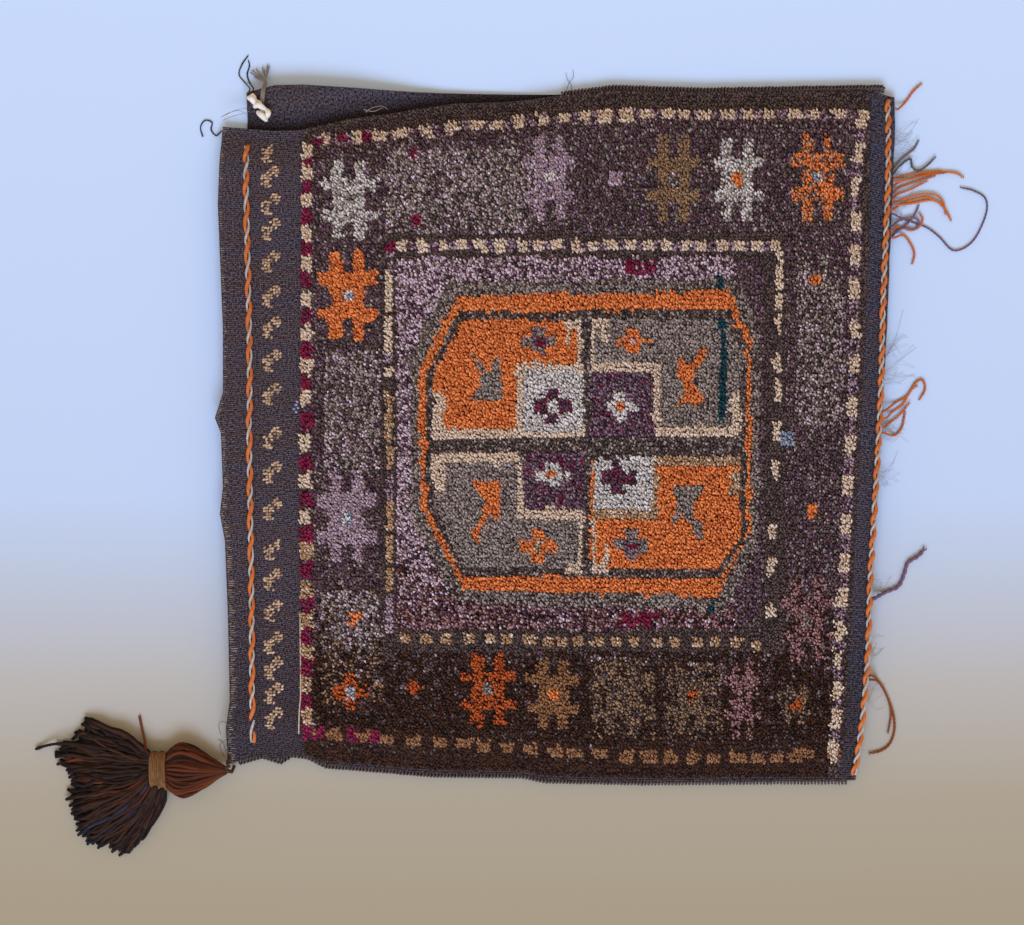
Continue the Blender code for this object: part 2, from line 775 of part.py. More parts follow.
# Each lock: its tip's place along the tassel's axis, then to its side (upper side first), and its lift
locks = [
    (0.124, -0.045, 0.004),
    (0.128, -0.034, 0.007),
    (0.165, -0.019, 0.009),
    (0.147, -0.008, 0.006),
    (0.138, 0.003, 0.010),
    (0.134, 0.012, 0.007),
    (0.139, 0.023, 0.010),
    (0.137, 0.033, 0.006),
    (0.131, 0.042, 0.009),
    (0.129, 0.052, 0.005),
    (0.122, 0.063, 0.008),
    (0.110, 0.070, 0.005),
    (0.092, 0.074, 0.007),
    (0.074, 0.063, 0.004),
]
lock_start = waist_end - waist_length / 2
widest_side = max(side for _, side, _ in locks)
lock_pieces = []
for tip_along, tip_side, lift in locks:
    start_side = tassel_waist_radius * 0.7 * tip_side / widest_side
    route = [on_tassel(lock_start, start_side, tassel_half_height)]
    for share in (0.35, 0.7):
        along = lock_start + (tip_along - lock_start) * share + lock_bow * math.sin(math.pi * share)
        side = start_side + (tip_side - start_side) * share
        fall = (tassel_half_height - lock_radius) * (1 - share)
        route.append(on_tassel(along, side, lock_radius + fall + lift * share * 0.5))
    route.append(on_tassel(tip_along, tip_side, lock_tip_radius + clearance))
    places = smooth_route(route, 0.016)
    radii = [1 - (1 - lock_tip_radius / lock_radius) * k / (len(places) - 1) for k in range(len(places))]
    lock = tube("lock", places, lock_radius, tassel_wool, radii, resolution=1)
    bpy.context.view_layer.update()
    lock_mesh = bpy.data.meshes.new_from_object(lock.evaluated_get(bpy.context.evaluated_depsgraph_get()))
    bpy.data.objects.remove(lock, do_unlink=True)
    weld(lock_mesh)
    piece = bpy.data.objects.new("lock", lock_mesh)
    shapes.objects.link(piece)
    lock_pieces.append(piece)
skirt_mesh = joined(waist, lock_pieces)
skirt_mesh.shade_smooth()
skirt = bpy.data.objects.new("tassel_skirt", skirt_mesh)
parts.objects.link(skirt)

# The tie from the corner of the bag to the tassel's head
tie_radius = 0.0016
corner_side = place_on_cloth(0.006, 0.0, 0.0)
tie_start = Vector((corner_side.x, corner_side.y - tie_radius - clearance, ground_thickness + edge_gap / 2))
tie_end = on_tassel(-tie_radius - clearance, 0.0, tassel_half_height + clearance)
tie_middle = (tie_start + tie_end) / 2 + Vector((0.0, -0.0035, 0.0))
tube("tassel_tie", smooth_route([tie_start, tie_middle, tie_end], 0.003), tie_radius, rust_wool)

# A stray end of the rust yarn, held under the binding and lying beside the skirt
waist_side = tassel_waist_radius + 1.5 * clearance
stray_skin = yarn_radius + clearance
stray_route = [
    on_tassel(waist_end - 0.003, -waist_side, tassel_half_height + clearance),
    on_tassel(waist_end - 0.001, -waist_side - 0.009, tassel_half_height / 2),
    on_tassel(waist_end + 0.002, -waist_side - 0.019, stray_skin),
    on_tassel(waist_end + 0.0045, -waist_side - 0.031, stray_skin),
]
tube("tassel_stray_end", smooth_route(stray_route, 0.005), yarn_radius, rust_wool)


# Loose ends and loops of wool along the fold


def fold_place(v, turn, outside):
    """A place outside the fold, turn above level from the middle of the bend."""
    half_gap = wall_gap(front_run, v) / 2
    reach = half_gap + ground_thickness + outside
    y = place_on_cloth(front_run, v, 0.0).y
    x = bend_x(v) + reach * math.cos(turn)
    return Vector((x, y, ground_thickness + half_gap + reach * math.sin(turn)))


def fold_end(name, v, material, offsets, radius=yarn_radius):
    """Yarn that leaves the fold at v and lies on the floor, through offsets from where it leaves."""
    skin = radius + clearance
    leaving = fold_place(v, math.radians(38), skin)
    turning = fold_place(v, math.radians(8), skin + 0.0012)
    floor_places = [Vector((leaving.x + a, leaving.y + b, skin)) for a, b in offsets]
    tube(name, smooth_route([leaving, turning, *floor_places], 0.006), radius, material)


short_end = [(0.010, 0.007), (0.0165, 0.016), (0.024, 0.023)]
fold_end("fold_end_1", 0.572, orange_wool, short_end)

straight_end = [(0.015, 0.003), (0.032, 0.008), (0.046, 0.009), (0.056, 0.008), (0.062, 0.004)]
fold_end("fold_end_2", 0.510, orange_wool, straight_end)

drooping_end = [(0.016, 0.002), (0.036, 0.005), (0.046, -0.002), (0.052, -0.013)]
fold_end("fold_end_3", 0.490, orange_wool, drooping_end)

wide_loop = [
    (0.014, -0.004),
    (0.031, -0.010),
    (0.042, -0.018),
    (0.055, -0.030),
    (0.071, -0.022),
    (0.082, 0.0),
    (0.082, 0.014),
    (0.072, 0.021),
    (0.060, 0.024),
]
fold_end("fold_end_4", 0.482, aubergine_wool, wide_loop, radius=0.0009)

hooked_end = [(0.012, 0.003), (0.018, -0.004), (0.0215, -0.013), (0.0195, -0.022)]
fold_end("fold_end_5", 0.462, orange_wool, hooked_end)

turned_end = [(0.013, 0.007), (0.023, 0.013), (0.030, 0.024), (0.036, 0.026), (0.038, 0.018), (0.033, 0.009)]
fold_end("fold_end_6", 0.315, orange_wool, turned_end)

rising_end = [(0.013, -0.002), (0.019, 0.004), (0.021, 0.012), (0.022, 0.019)]
fold_end("fold_end_7", 0.296, orange_wool, rising_end)

plied_end = [(0.014, 0.005), (0.025, 0.010), (0.030, 0.021), (0.033, 0.030), (0.042, 0.036), (0.048, 0.043)]
fold_end("fold_end_8", 0.155, aubergine_wool, plied_end, radius=0.0018)

lower_loop = [
    (0.014, -0.003),
    (0.022, -0.018),
    (0.0265, -0.032),
    (0.027, -0.045),
    (0.023, -0.056),
    (0.015, -0.062),
    (0.005, -0.064),
]
fold_end("fold_end_9", 0.086, seam_wool, lower_loop)

# Junction yarn: thin cream yarn lying where the strip meets the pile
junction_u = strip_depth - yarn_radius - 0.0012
junction_height = ground_thickness + rib_height + thread_radius * 1.6 + clearance + bow_clearance
junction_points = [place_on_cloth(junction_u, 0.022 + 0.0115 * k, junction_height) for k in range(11)]
tube("junction_yarn", smooth_route(junction_points, 0.004), thread_radius * 1.6, cream_wool)

# Upper corner of the mouth: warp ends and sewing threads that fall to the floor from the back's free rim


def beyond_rim(name, along_rim, offsets, radius, material):
    """Yarn held at the rim, along_rim from its corner, lying on the floor through offsets from there."""
    skin = radius + clearance
    beyond = clearance + 0.75 * radius
    start = place_on_cloth(cloth_length - along_rim, cloth_width, ground_thickness / 2)
    start.y += beyond
    falling = Vector((start.x, start.y + 0.004, max(skin, start.z / 2)))
    floor_places = [Vector((start.x + a, start.y + b, skin)) for a, b in offsets]
    tube(name, smooth_route([start, falling, *floor_places], 0.005), radius, material)


outer_thread = [(-0.005, 0.010), (-0.010, 0.017), (-0.007, 0.026), (-0.002, 0.033)]
beyond_rim("corner_thread_1", 0.002, outer_thread, thread_radius, thread_cotton)
inner_thread = [(-0.004, 0.010), (-0.006, 0.017), (-0.004, 0.024), (-0.005, 0.029)]
beyond_rim("corner_thread_2", 0.005, inner_thread, thread_radius, thread_cotton)
warp_ends = [(0.0, 0.011), (-0.002, 0.016), (-0.006, 0.021)]
beyond_rim("corner_fringe", 0.017, warp_ends, 0.0035, grey_wool)

# The torn cotton tie, knotted on the upper face of the free rim
knot_radius = 0.0026
knot_height = knot_radius + clearance + bow_clearance
knot_points = [(0.004, 0.003), (0.008, 0.008), (0.012, 0.012), (0.017, 0.018)]
knot_places = [place_on_cloth(cloth_length - a, cloth_width - b, -knot_height) for a, b in knot_points]
knot_route = smooth_route(knot_places, 0.003)
knot_radii = [0.65 + 0.35 * abs(math.sin(1.3 * k)) for k in range(len(knot_route))]
tube("corner_knot", knot_route, knot_radius, white_cotton, knot_radii)

# A loop of sewing thread that falls from the front wall's upper corner to the floor
loop_skin = thread_radius + clearance
front_corner = place_on_cloth(0.0, cloth_width - 0.004, ground_thickness / 2)
loop_start = front_corner + Vector((-loop_skin, 0.0, 0.0))
loop_offsets = [
    (-0.006, -0.003),
    (-0.010, 0.002),
    (-0.009, 0.008),
    (-0.015, 0.010),
    (-0.019, 0.004),
    (-0.017, -0.004),
]
loop_places = [loop_start, loop_start + Vector((-0.003, -0.002, -front_corner.z / 2))]
loop_places += [Vector((loop_start.x + a, loop_start.y + b, loop_skin)) for a, b in loop_offsets]
tube("corner_loop", smooth_route(loop_places, 0.003), thread_radius, thread_cotton)

# Smooth shading on everything that is not flat
cloth.data.set_sharp_from_angle(angle=math.radians(35))
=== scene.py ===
"""Looks of the kilim saddle bag, lying flat with its pile face up and its mouth to the left.

Places on the bag are written as (across, down), in steps of 0.85 mm from the upper left corner of the view.
"""

import math

import bpy
import numpy as np
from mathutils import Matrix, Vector, noise


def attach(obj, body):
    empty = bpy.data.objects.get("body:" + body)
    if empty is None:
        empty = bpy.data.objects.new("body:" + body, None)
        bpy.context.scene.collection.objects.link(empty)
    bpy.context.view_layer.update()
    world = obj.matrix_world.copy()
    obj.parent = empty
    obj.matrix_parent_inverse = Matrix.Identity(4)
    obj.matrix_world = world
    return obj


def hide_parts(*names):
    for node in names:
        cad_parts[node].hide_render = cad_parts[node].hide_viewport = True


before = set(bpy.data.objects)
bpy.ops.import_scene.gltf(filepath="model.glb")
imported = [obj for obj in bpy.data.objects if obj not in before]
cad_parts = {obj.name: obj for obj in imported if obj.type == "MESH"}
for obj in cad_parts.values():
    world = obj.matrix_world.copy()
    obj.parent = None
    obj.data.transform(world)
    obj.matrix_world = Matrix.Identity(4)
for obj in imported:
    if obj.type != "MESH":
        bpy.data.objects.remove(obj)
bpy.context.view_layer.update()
scene = bpy.context.scene

# Camera: it hangs 1.5 m above the floor and looks straight down on the bag, as the photograph was taken.
# spot() turns a place on the bag into metres in the frame's own axes.
step = 0.00085
view_across, view_down = 1024, 925
origin_across, origin_down = 559, 434.5
camera_height = 1.5
bag_height = 0.010


def spot(across, down, height=0.0):
    return (across - origin_across) * step, (origin_down - down) * step, height


camera_data = bpy.data.cameras.new("camera")
camera_data.sensor_width = 36.0
camera_data.lens = camera_data.sensor_width * (camera_height - bag_height) / (view_across * step)
camera = bpy.data.objects.new("camera", camera_data)
camera.location = (*spot(view_across / 2, view_down / 2)[:2], camera_height)
scene.collection.objects.link(camera)
scene.camera = camera
scene.view_settings.view_transform = "Standard"

# Light: an even warm surround, and one wide cool window on the lower side. The camera sees the surround as a
# pale grey, and so do gloss and anything seen through.


def linear(red, green, blue):
    """A screen colour, from 0 to 255 each, in the values that a shader takes."""
    shares = [c / 255 for c in (red, green, blue)]
    return [c / 12.92 if c <= 0.04045 else ((c + 0.055) / 1.055) ** 2.4 for c in shares] + [1.0]


def add_node(tree, kind, inputs=(), **settings):
    """A node of a material or a shape, with its settings and the values of its inputs."""
    node = tree.nodes.new(kind)
    for setting, value in settings.items():
        setattr(node, setting, value)
    for socket_name, value in dict(inputs).items():
        node.inputs[socket_name].default_value = value
    return node


def join(tree, *pairs):
    """Joins outputs to inputs, pair by pair."""
    for output, socket_in in pairs:
        tree.links.new(output, socket_in)


world = bpy.data.worlds.new("surround")
world.use_nodes = True
sky = world.node_tree
warm = sky.nodes["Background"]
warm.inputs["Color"].default_value = linear(255, 228, 196)
warm.inputs["Strength"].default_value = 0.80
pale = add_node(sky, "ShaderNodeBackground", {"Color": linear(206, 216, 230)})
seen_by = add_node(sky, "ShaderNodeLightPath")
seen_or_mirrored = add_node(sky, "ShaderNodeMath", operation="MAXIMUM")
or_through_glass = add_node(sky, "ShaderNodeMath", operation="MAXIMUM")
either = add_node(sky, "ShaderNodeMixShader")
join(sky,
     (seen_by.outputs["Is Camera Ray"], seen_or_mirrored.inputs[0]),
     (seen_by.outputs["Is Glossy Ray"], seen_or_mirrored.inputs[1]),
     (seen_or_mirrored.outputs[0], or_through_glass.inputs[0]),
     (seen_by.outputs["Is Transmission Ray"], or_through_glass.inputs[1]),
     (or_through_glass.outputs[0], either.inputs["Fac"]),
     (warm.outputs["Background"], either.inputs[1]),
     (pale.outputs["Background"], either.inputs[2]),
     (either.outputs["Shader"], sky.nodes["World Output"].inputs["Surface"]))
scene.world = world
window_data = bpy.data.lights.new("window", "AREA")
window_data.shape = "RECTANGLE"
window_data.size = 2.4
window_data.size_y = 1.5
window_data.energy = 128.0
window_data.color = linear(186, 212, 255)[:3]
window = bpy.data.objects.new("window", window_data)
window.location = (-0.1, -2.4, 2.3)
window_aim = Vector((0.0, 0.1, 0.0))
window.rotation_euler = (window_aim - window.location).to_track_quat("-Z", "Y").to_euler()
scene.collection.objects.link(window)

# Floor: a smooth pale sheet that the bag lies on. Its colour is painted light and shade: bluish on the upper
# side as painted cool light, a tan painted shade by the bag's lower edge, and pale again far below it.
floor_reach = 3.0
floor_mesh = bpy.data.meshes.new("floor")
floor_mesh.from_pydata([(-floor_reach, -floor_reach, 0), (floor_reach, -floor_reach, 0),
                        (floor_reach, floor_reach, 0), (-floor_reach, floor_reach, 0)], [], [(0, 1, 2, 3)])
floor = bpy.data.objects.new("floor", floor_mesh)
scene.collection.objects.link(floor)
floor_material = bpy.data.materials.new("floor")
floor_material.use_nodes = True
floor_tree = floor_material.node_tree
floor_shader = floor_tree.nodes["Principled BSDF"]
floor_shader.inputs["Roughness"].default_value = 0.9
place_node = add_node(floor_tree, "ShaderNodeTexCoord")
split = add_node(floor_tree, "ShaderNodeSeparateXYZ")
reach = add_node(floor_tree, "ShaderNodeMapRange", {"From Min": -1.30, "From Max": 0.38})
# The colour ramp along the floor is painted light and shade, not the floor's own colour.
floor_painted_light = add_node(floor_tree, "ShaderNodeValToRGB")
floor_painted_light.color_ramp.elements[0].color = linear(200, 194, 182)
floor_painted_light.color_ramp.elements[1].color = linear(192, 217, 250)
for share, shade in ((0.524, (150, 139, 112)), (0.590, (157, 148, 126)), (0.648, (170, 168, 160)),
                     (0.743, (180, 200, 226))):
    floor_painted_light.color_ramp.elements.new(share).color = linear(*shade)
join(floor_tree,
     (place_node.outputs["Object"], split.inputs[0]),
     (split.outputs["Y"], reach.inputs["Value"]),
     (reach.outputs["Result"], floor_painted_light.inputs["Fac"]),
     (floor_painted_light.outputs["Color"], floor_shader.inputs["Base Color"]))
floor_mesh.materials.append(floor_material)

# Cloth: one length of weft-faced weave, folded once at the bottom of the pocket, on the right. Its ribs run
# along the warps. The upper side is unsewn from the mouth to the middle, and there the back wall curls up a
# little.
front_upper = [(222, 126), (271, 130), (310, 129), (343, 119), (390, 113), (455, 103), (518, 101), (560, 95),
               (614, 88), (704, 91), (818, 89), (882, 88), (896, 96)]
front_lower = [(227, 765), (261, 755), (280, 761), (291, 754), (307, 756), (325, 765), (387, 770), (432, 774),
               (521, 775), (546, 780), (644, 782), (778, 781), (857, 781)]
mouth_edge = [(222, 126), (219, 205), (224, 330), (224, 393), (216, 418), (222, 433), (224, 487), (221, 514),
              (226, 540), (229, 611), (231, 700), (227, 727), (227, 765)]
fold_edge = [(896, 96), (896, 127), (891, 246), (888, 325), (880, 466), (872, 600), (868, 650), (864, 702),
             (857, 781)]
back_upper = [(247, 93), (259, 86), (302, 85), (404, 91), (455, 92), (518, 93), (570, 93), (614, 89.5),
              (704, 92.5), (818, 90.5), (882, 89.5), (896, 97)]
back_mouth = [(247, 93), (248, 200), (250, 420), (251, 765)]
pocket_depth, pocket_width, thickness = 0.573, 0.589, 0.003
rib_pitch, front_rib, back_rib = 0.0019, 0.0008, 0.00045
edge_gap, middle_gap, middle_gain, sag_depth = 0.0012, 0.007, 0.003, 0.0007
fold_fade, side_fade, fold_wander = 0.110, 0.040, 0.0005
curl_lift, curl_start, curl_width, curl_end, curl_fade = 0.0095, 7, 26, 590, 60
front_run, fold_run, back_run = 0.566, 0.0157, 0.545
# Colour factors for the cloth: the faces inside the pocket are darkened as painted shade, and the outer face
# is darker round the fold and under the back wall.
pocket_painted_shade, fold_shade, back_shade, indigo_share = 0.7, 0.8, 0.85, 0.3


def along(outline, share, axis):
    """Points of an outline at shares of its length, measured along one axis."""
    points = np.array(outline, float)
    shares = (points[:, axis] - points[0, axis]) / (points[-1, axis] - points[0, axis])
    return np.stack([np.interp(share, shares, points[:, k]) for k in (0, 1)], -1)


def patch(s, t, left, right, lower, upper):
    """Across and down at s from the mouth to the fold and t from the lower side to the upper."""
    a, b = along(left, 1 - t, 1), along(right, 1 - t, 1)
    c, d = along(lower, s, 0), along(upper, s, 0)
    s, t = s[..., None], t[..., None]
    corners = (1 - s) * (1 - t) * np.array(left[-1]) + s * (1 - t) * np.array(right[-1])
    corners = corners + (1 - s) * t * np.array(left[0]) + s * t * np.array(right[0])
    return (1 - s) * a + s * b + (1 - t) * c + t * d - corners


def across_at(outline, down):
    """How far across an outline runs at each place down it."""
    return np.interp(down, *zip(*[(y, x) for x, y in outline]))


def down_at(outline, across):
    """How far down an outline runs at each place across it."""
    return np.interp(across, *zip(*outline))


def eased(share):
    share = np.clip(share, 0, 1)
    return share * share * (3 - 2 * share)


def gap_between(s, t):
    """Clear height between the two walls."""
    from_fold = eased((1 - s) * pocket_depth / fold_fade)
    from_side = eased(np.minimum(t, 1 - t) * pocket_width / side_fade)
    middle = middle_gap + middle_gain * from_fold
    sag = 0.5 * np.sin(9 * s + 4 * t) + 0.5 * np.sin(7 * t - 5 * s + 1)
    return edge_gap + (middle - edge_gap + sag_depth * sag) * from_side


def bag_shares(across, down):
    """Shares s and t of a place on the front wall."""
    left, right = across_at(mouth_edge, down), across_at(fold_edge, down)
    upper, lower = down_at(front_upper, across), down_at(front_lower, across)
    return (across - left) / (right - left), (down - lower) / (upper - lower)


def front_height(across, down):
    """Height of the front wall's outer face."""
    s, t = bag_shares(np.asarray(across, float), np.asarray(down, float))
    return 2 * thickness + gap_between(s, t)


def solid_piece(name, points, faces, material, replaced=(), shades=None, smooth=True):
    """A mesh piece that rides the bag, shown in place of CAD nodes. Each point may have its own shade."""
    mesh = bpy.data.meshes.new(name)
    mesh.from_pydata([tuple(p) for p in points], [], faces)
    if shades is not None:
        mesh.attributes.new("shade", "FLOAT", "POINT").data.foreach_set("value", shades)
    mesh.materials.append(material)
    if smooth:
        mesh.shade_smooth()
    piece = bpy.data.objects.new(name, mesh)
    scene.collection.objects.link(piece)
    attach(piece, "root")
    if replaced:
        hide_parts(*replaced)
    return piece


rib_count = round(pocket_width / rib_pitch)
t_line = np.linspace(0, 1, 2 * rib_count + 1)
ridge = np.where(np.arange(2 * rib_count + 1) % 2, 1.0, 0.0)
rows_out, rows_in, run_at, shade_out, inner_painted_shade = [], [], [], [], []
fold_gap = gap_between(np.ones_like(t_line), t_line)
bend_back = (fold_gap / 2 + thickness) / step
wander = np.array([noise.noise((40 * t, 0, 0)) for t in t_line])
# the front wall, from its mouth to the fold
for s in np.linspace(0, 1, 27):
    place = patch(np.full_like(t_line, s), t_line, mouth_edge, fold_edge, front_lower, front_upper)
    across, down = place[:, 0] - bend_back * s, place[:, 1]
    low = thickness + gap_between(np.full_like(t_line, s), t_line)
    rows_in.append((across, down, low))
    rows_out.append((across, down, low + thickness + front_rib * (ridge - 0.5)))
    run_at.append(s * front_run)
    # Painted shade: the front's outer face darkens towards the lower side, where the light is dimmer; it is
    # also darker on the band beside the fold.
    shade_out.append((1 - 0.30 * eased((down - 560) / 190)) * (1 - 0.16 * eased((across - 850) / 10)))
    inner_painted_shade.append(np.full_like(t_line, pocket_painted_shade))
# half a turn round the fold
for turn in np.linspace(0, math.pi, 9)[1:-1]:
    place = patch(np.ones_like(t_line), t_line, mouth_edge, fold_edge, front_lower, front_upper)
    across, down = place[:, 0] - bend_back, place[:, 1]
    outer_wall = thickness + back_rib * (ridge - 0.5) + fold_wander * wander
    for rows, wall in ((rows_in, 0.0), (rows_out, outer_wall)):
        radius = fold_gap / 2 + wall
        rows.append((across + radius * math.sin(turn) / step, down,
                     thickness + fold_gap / 2 + radius * math.cos(turn)))
    run_at.append(front_run + fold_run * turn / math.pi)
    shade_out.append(np.full_like(t_line, fold_shade))
    inner_painted_shade.append(np.full_like(t_line, pocket_painted_shade))
# the back wall, from the fold to its mouth, with its curl
for s in np.linspace(1, 0, 24):
    place = patch(np.full_like(t_line, s), t_line, back_mouth, fold_edge, front_lower, back_upper)
    across, down = place[:, 0] - bend_back * s, place[:, 1]
    past_front = down_at(front_upper, across) - down
    lift = curl_lift * eased((past_front - curl_start) / curl_width) * eased((curl_end - across) / curl_fade)
    rows_in.append((across, down, thickness + lift))
    rows_out.append((across, down, lift + back_rib * (1 - ridge)))
    run_at.append(front_run + fold_run + (1 - s) * back_run)
    shade_out.append(np.full_like(t_line, back_shade))
    # Painted shade on the back wall's inner face: darkest just past the front wall's edge, as its shadow,
    # lighter up to the curled rim, and darker again deep inside the pocket.
    inner_painted_shade.append(0.24 + 0.50 * eased((past_front - 1) / 24) + 0.40 * eased((-past_front - 6) / 30))
# faces of the two sides, and of the four edges between them
cloth_points = np.concatenate([np.stack([*spot(a, d)[:2], z], -1) for a, d, z in rows_out + rows_in])
wide, tall = len(t_line), len(rows_out)
first_inner = wide * tall
cloth_faces = []
for r in range(tall - 1):
    for c in range(wide - 1):
        a = r * wide + c
        cloth_faces.append((a + 1, a + wide + 1, a + wide, a))
        a += first_inner
        cloth_faces.append((a + wide, a + wide + 1, a + 1, a))
for c in range(wide - 1):
    a, b = c, first_inner + c
    cloth_faces.append((b, b + 1, a + 1, a))
    a, b = (tall - 1) * wide + c, first_inner + (tall - 1) * wide + c
    cloth_faces.append((a + 1, b + 1, b, a))
for r in range(tall - 1):
    a, b = r * wide, first_inner + r * wide
    cloth_faces.append((a + wide, b + wide, b, a))
    a, b = a + wide - 1, b + wide - 1
    cloth_faces.append((b, b + wide, a + wide, a))
cloth_material = bpy.data.materials.new("woven_ground")
cloth_material.use_nodes = True
cloth_tree = cloth_material.node_tree
shader = cloth_tree.nodes["Principled BSDF"]
shader.inputs["Roughness"].default_value = 0.95
shader.inputs["Specular IOR Level"].default_value = 0.15
flat_place = add_node(cloth_tree, "ShaderNodeUVMap", uv_map="flat")
stretch = add_node(cloth_tree, "ShaderNodeMapping", {"Scale": (700, 520, 1)})
speckle = add_node(cloth_tree, "ShaderNodeTexNoise", {"Scale": 1.0, "Detail": 1.5})
bands = add_node(cloth_tree, "ShaderNodeMapping", {"Scale": (12, 90, 1)})
band_noise = add_node(cloth_tree, "ShaderNodeTexNoise", {"Scale": 1.0})
indigo = add_node(cloth_tree, "ShaderNodeAttribute", attribute_name="indigo")
bluer = add_node(cloth_tree, "ShaderNodeMath", use_clamp=True)
tone = add_node(cloth_tree, "ShaderNodeMix", data_type="RGBA")
tone.inputs["A"].default_value = linear(72, 57, 52)
tone.inputs["B"].default_value = linear(60, 62, 78)
ramp = add_node(cloth_tree, "ShaderNodeValToRGB")
ramp.color_ramp.elements[0].position = 0.36
ramp.color_ramp.elements[0].color = (0.24, 0.23, 0.23, 1)
ramp.color_ramp.elements[1].position = 0.68
ramp.color_ramp.elements[1].color = (2.5, 2.35, 2.2, 1)
weave = add_node(cloth_tree, "ShaderNodeMix", data_type="RGBA", blend_type="MULTIPLY")
weave.inputs["Factor"].default_value = 1.0
# The shade attribute is painted shade multiplied into the cloth's colour: inside the pocket, past the front's
# edge and towards the lower side.
painted_shade_attribute = add_node(cloth_tree, "ShaderNodeAttribute", attribute_name="shade")
painted_shade_mix = add_node(cloth_tree, "ShaderNodeMix", data_type="RGBA", blend_type="MULTIPLY")
painted_shade_mix.inputs["Factor"].default_value = 1.0
grain_bump = add_node(cloth_tree, "ShaderNodeBump", {"Distance": 0.0004, "Strength": 0.7})
join(cloth_tree,
     (flat_place.outputs[0], stretch.inputs[0]),
     (stretch.outputs[0], speckle.inputs["Vector"]),
     (flat_place.outputs[0], bands.inputs[0]),
     (bands.outputs[0], band_noise.inputs["Vector"]),
     (band_noise.outputs["Fac"], bluer.inputs[0]),
     (indigo.outputs["Fac"], bluer.inputs[1]),
     (bluer.outputs[0], tone.inputs["Factor"]),
     (speckle.outputs["Fac"], ramp.inputs[0]),
     (tone.outputs["Result"], weave.inputs["A"]),
     (ramp.outputs[0], weave.inputs["B"]),
     (weave.outputs["Result"], painted_shade_mix.inputs["A"]),
     (painted_shade_attribute.outputs["Fac"], painted_shade_mix.inputs["B"]),
     (painted_shade_mix.outputs["Result"], shader.inputs["Base Color"]),
     (speckle.outputs["Fac"], grain_bump.inputs["Height"]),
     (grain_bump.outputs["Normal"], shader.inputs["Normal"]))
cloth = solid_piece("cloth", cloth_points, cloth_faces, cloth_material,
                    replaced=["bag_cloth"], smooth=False,
                    shades=np.concatenate([*shade_out, *inner_painted_shade]))
indigo_rows = np.concatenate([indigo_share * eased((a - 852) / 8) for a, d, z in rows_out])
cloth.data.attributes.new("indigo", "FLOAT", "POINT").data.foreach_set("value", np.tile(indigo_rows, 2))
uv_layer = cloth.data.uv_layers.new(name="flat")
corner_vertex = np.empty(len(cloth.data.loops), int)
cloth.data.loops.foreach_get("vertex_index", corner_vertex)
in_sheet = corner_vertex % first_inner
flat = np.stack([np.array(run_at)[in_sheet // wide], (in_sheet % wide) / (wide - 1) * pocket_width], -1)
uv_layer.data.foreach_set("uv", flat.astype(np.float32).ravel())

# Pile: rows of wool knots tied across the front wall and cut to 3 or 4 mm, about 22,000 of them. Each is
# drawn as three tufts that lean towards the mouth's upper corner. A knot's wool is chosen where the tips of
# its tufts show, at (x, y).
rng = np.random.default_rng(7)
knot_across, knot_down = 3.5, 4.7
pile_across, pile_down = 562, 662
pile_left = [(304, 128), (303, 300), (302, 500), (303, 650), (305, 756)]
pile_right = [(870, 90), (868, 246), (862, 383), (855, 516), (851, 607), (846, 702), (839, 779)]
pile_upper = [(304, 131), (343, 121), (390, 115), (455, 105), (518, 103), (560, 97), (614, 91), (704, 93),
              (818, 92), (870, 92)]
pile_lower = [(305, 754), (325, 762), (387, 767), (432, 771), (521, 772), (546, 777), (644, 779), (778, 778),
              (839, 778)]
nap_shift, drift_reach, drift_length = (-1.6, -2.0), 1.3, 21
columns, lines = round(pile_across / knot_across), round(pile_down / knot_down)
grid_s, grid_t = np.meshgrid((np.arange(columns) + 0.5) / columns, (np.arange(lines) + 0.5) / lines)
knots = patch(grid_s.ravel(), grid_t.ravel(), pile_left, pile_right, pile_lower, pile_upper)
knots += rng.normal(0, 0.25, knots.shape)
drift = np.array([[noise.noise((x / drift_length, y / drift_length, z)) for z in (0, 9)] for x, y in knots])
seen = knots + nap_shift + drift_reach * drift + rng.normal(0, 0.35, knots.shape)
x, y = seen[:, 0], seen[:, 1]
wool_of = np.full(len(knots), "border", dtype="U16")


def inside(x0, x1, y0, y1):
    return (x > x0) & (x < x1) & (y > y0) & (y < y1)


def within(outline):
    """Which knots lie inside an outline."""
    found = np.zeros(len(x), bool)
    for (x0, y0), (x1, y1) in zip(outline, outline[1:] + outline[:1]):
        crosses = (y0 > y) != (y1 > y)
        slope = (x1 - x0) / (y1 - y0) if y1 != y0 else 0.0
        found ^= crosses & (x < x0 + (y - y0) * slope)
    return found


def paint(where, wool):
    wool_of[where] = wool


# Ground of the pile: brown wool with paler worn patches in the border, and a mauve field. The wools are
# darker and redder towards the lower side, partly their own colour and partly painted shade for the dimmer
# light there. A dark edge runs beside the seams, the strip and the fold.
side_share = bag_shares(x, y)[1]
field_place = (388, 776, 246, 638)
paint(y > 640 + rng.normal(0, 34, len(y)), "border_low")
for worn_place in ((385, 520, 150, 232), (470, 530, 160, 232), (795, 842, 270, 425), (590, 655, 655, 735),
                   (322, 384, 590, 700), (660, 720, 660, 735), (325, 380, 350, 470)):
    paint(inside(*worn_place) & (rng.random(len(x)) < 0.75), "faded")
paint((wool_of == "faded") & (y > 638 + rng.normal(0, 24, len(y))), "faded_low")
paint(inside(*field_place), "field")
paint(inside(*field_place) & (y > 575 + rng.normal(0, 22, len(y))), "field_low")
paint(inside(735, 772, 258, 628), "field_dark")
paint(side_share > 0.967, "edge")
paint(side_share < 0.031, "edge_low")
paint(x < 302, "edge")
paint(x > across_at(pile_right, y) - 13, "edge")

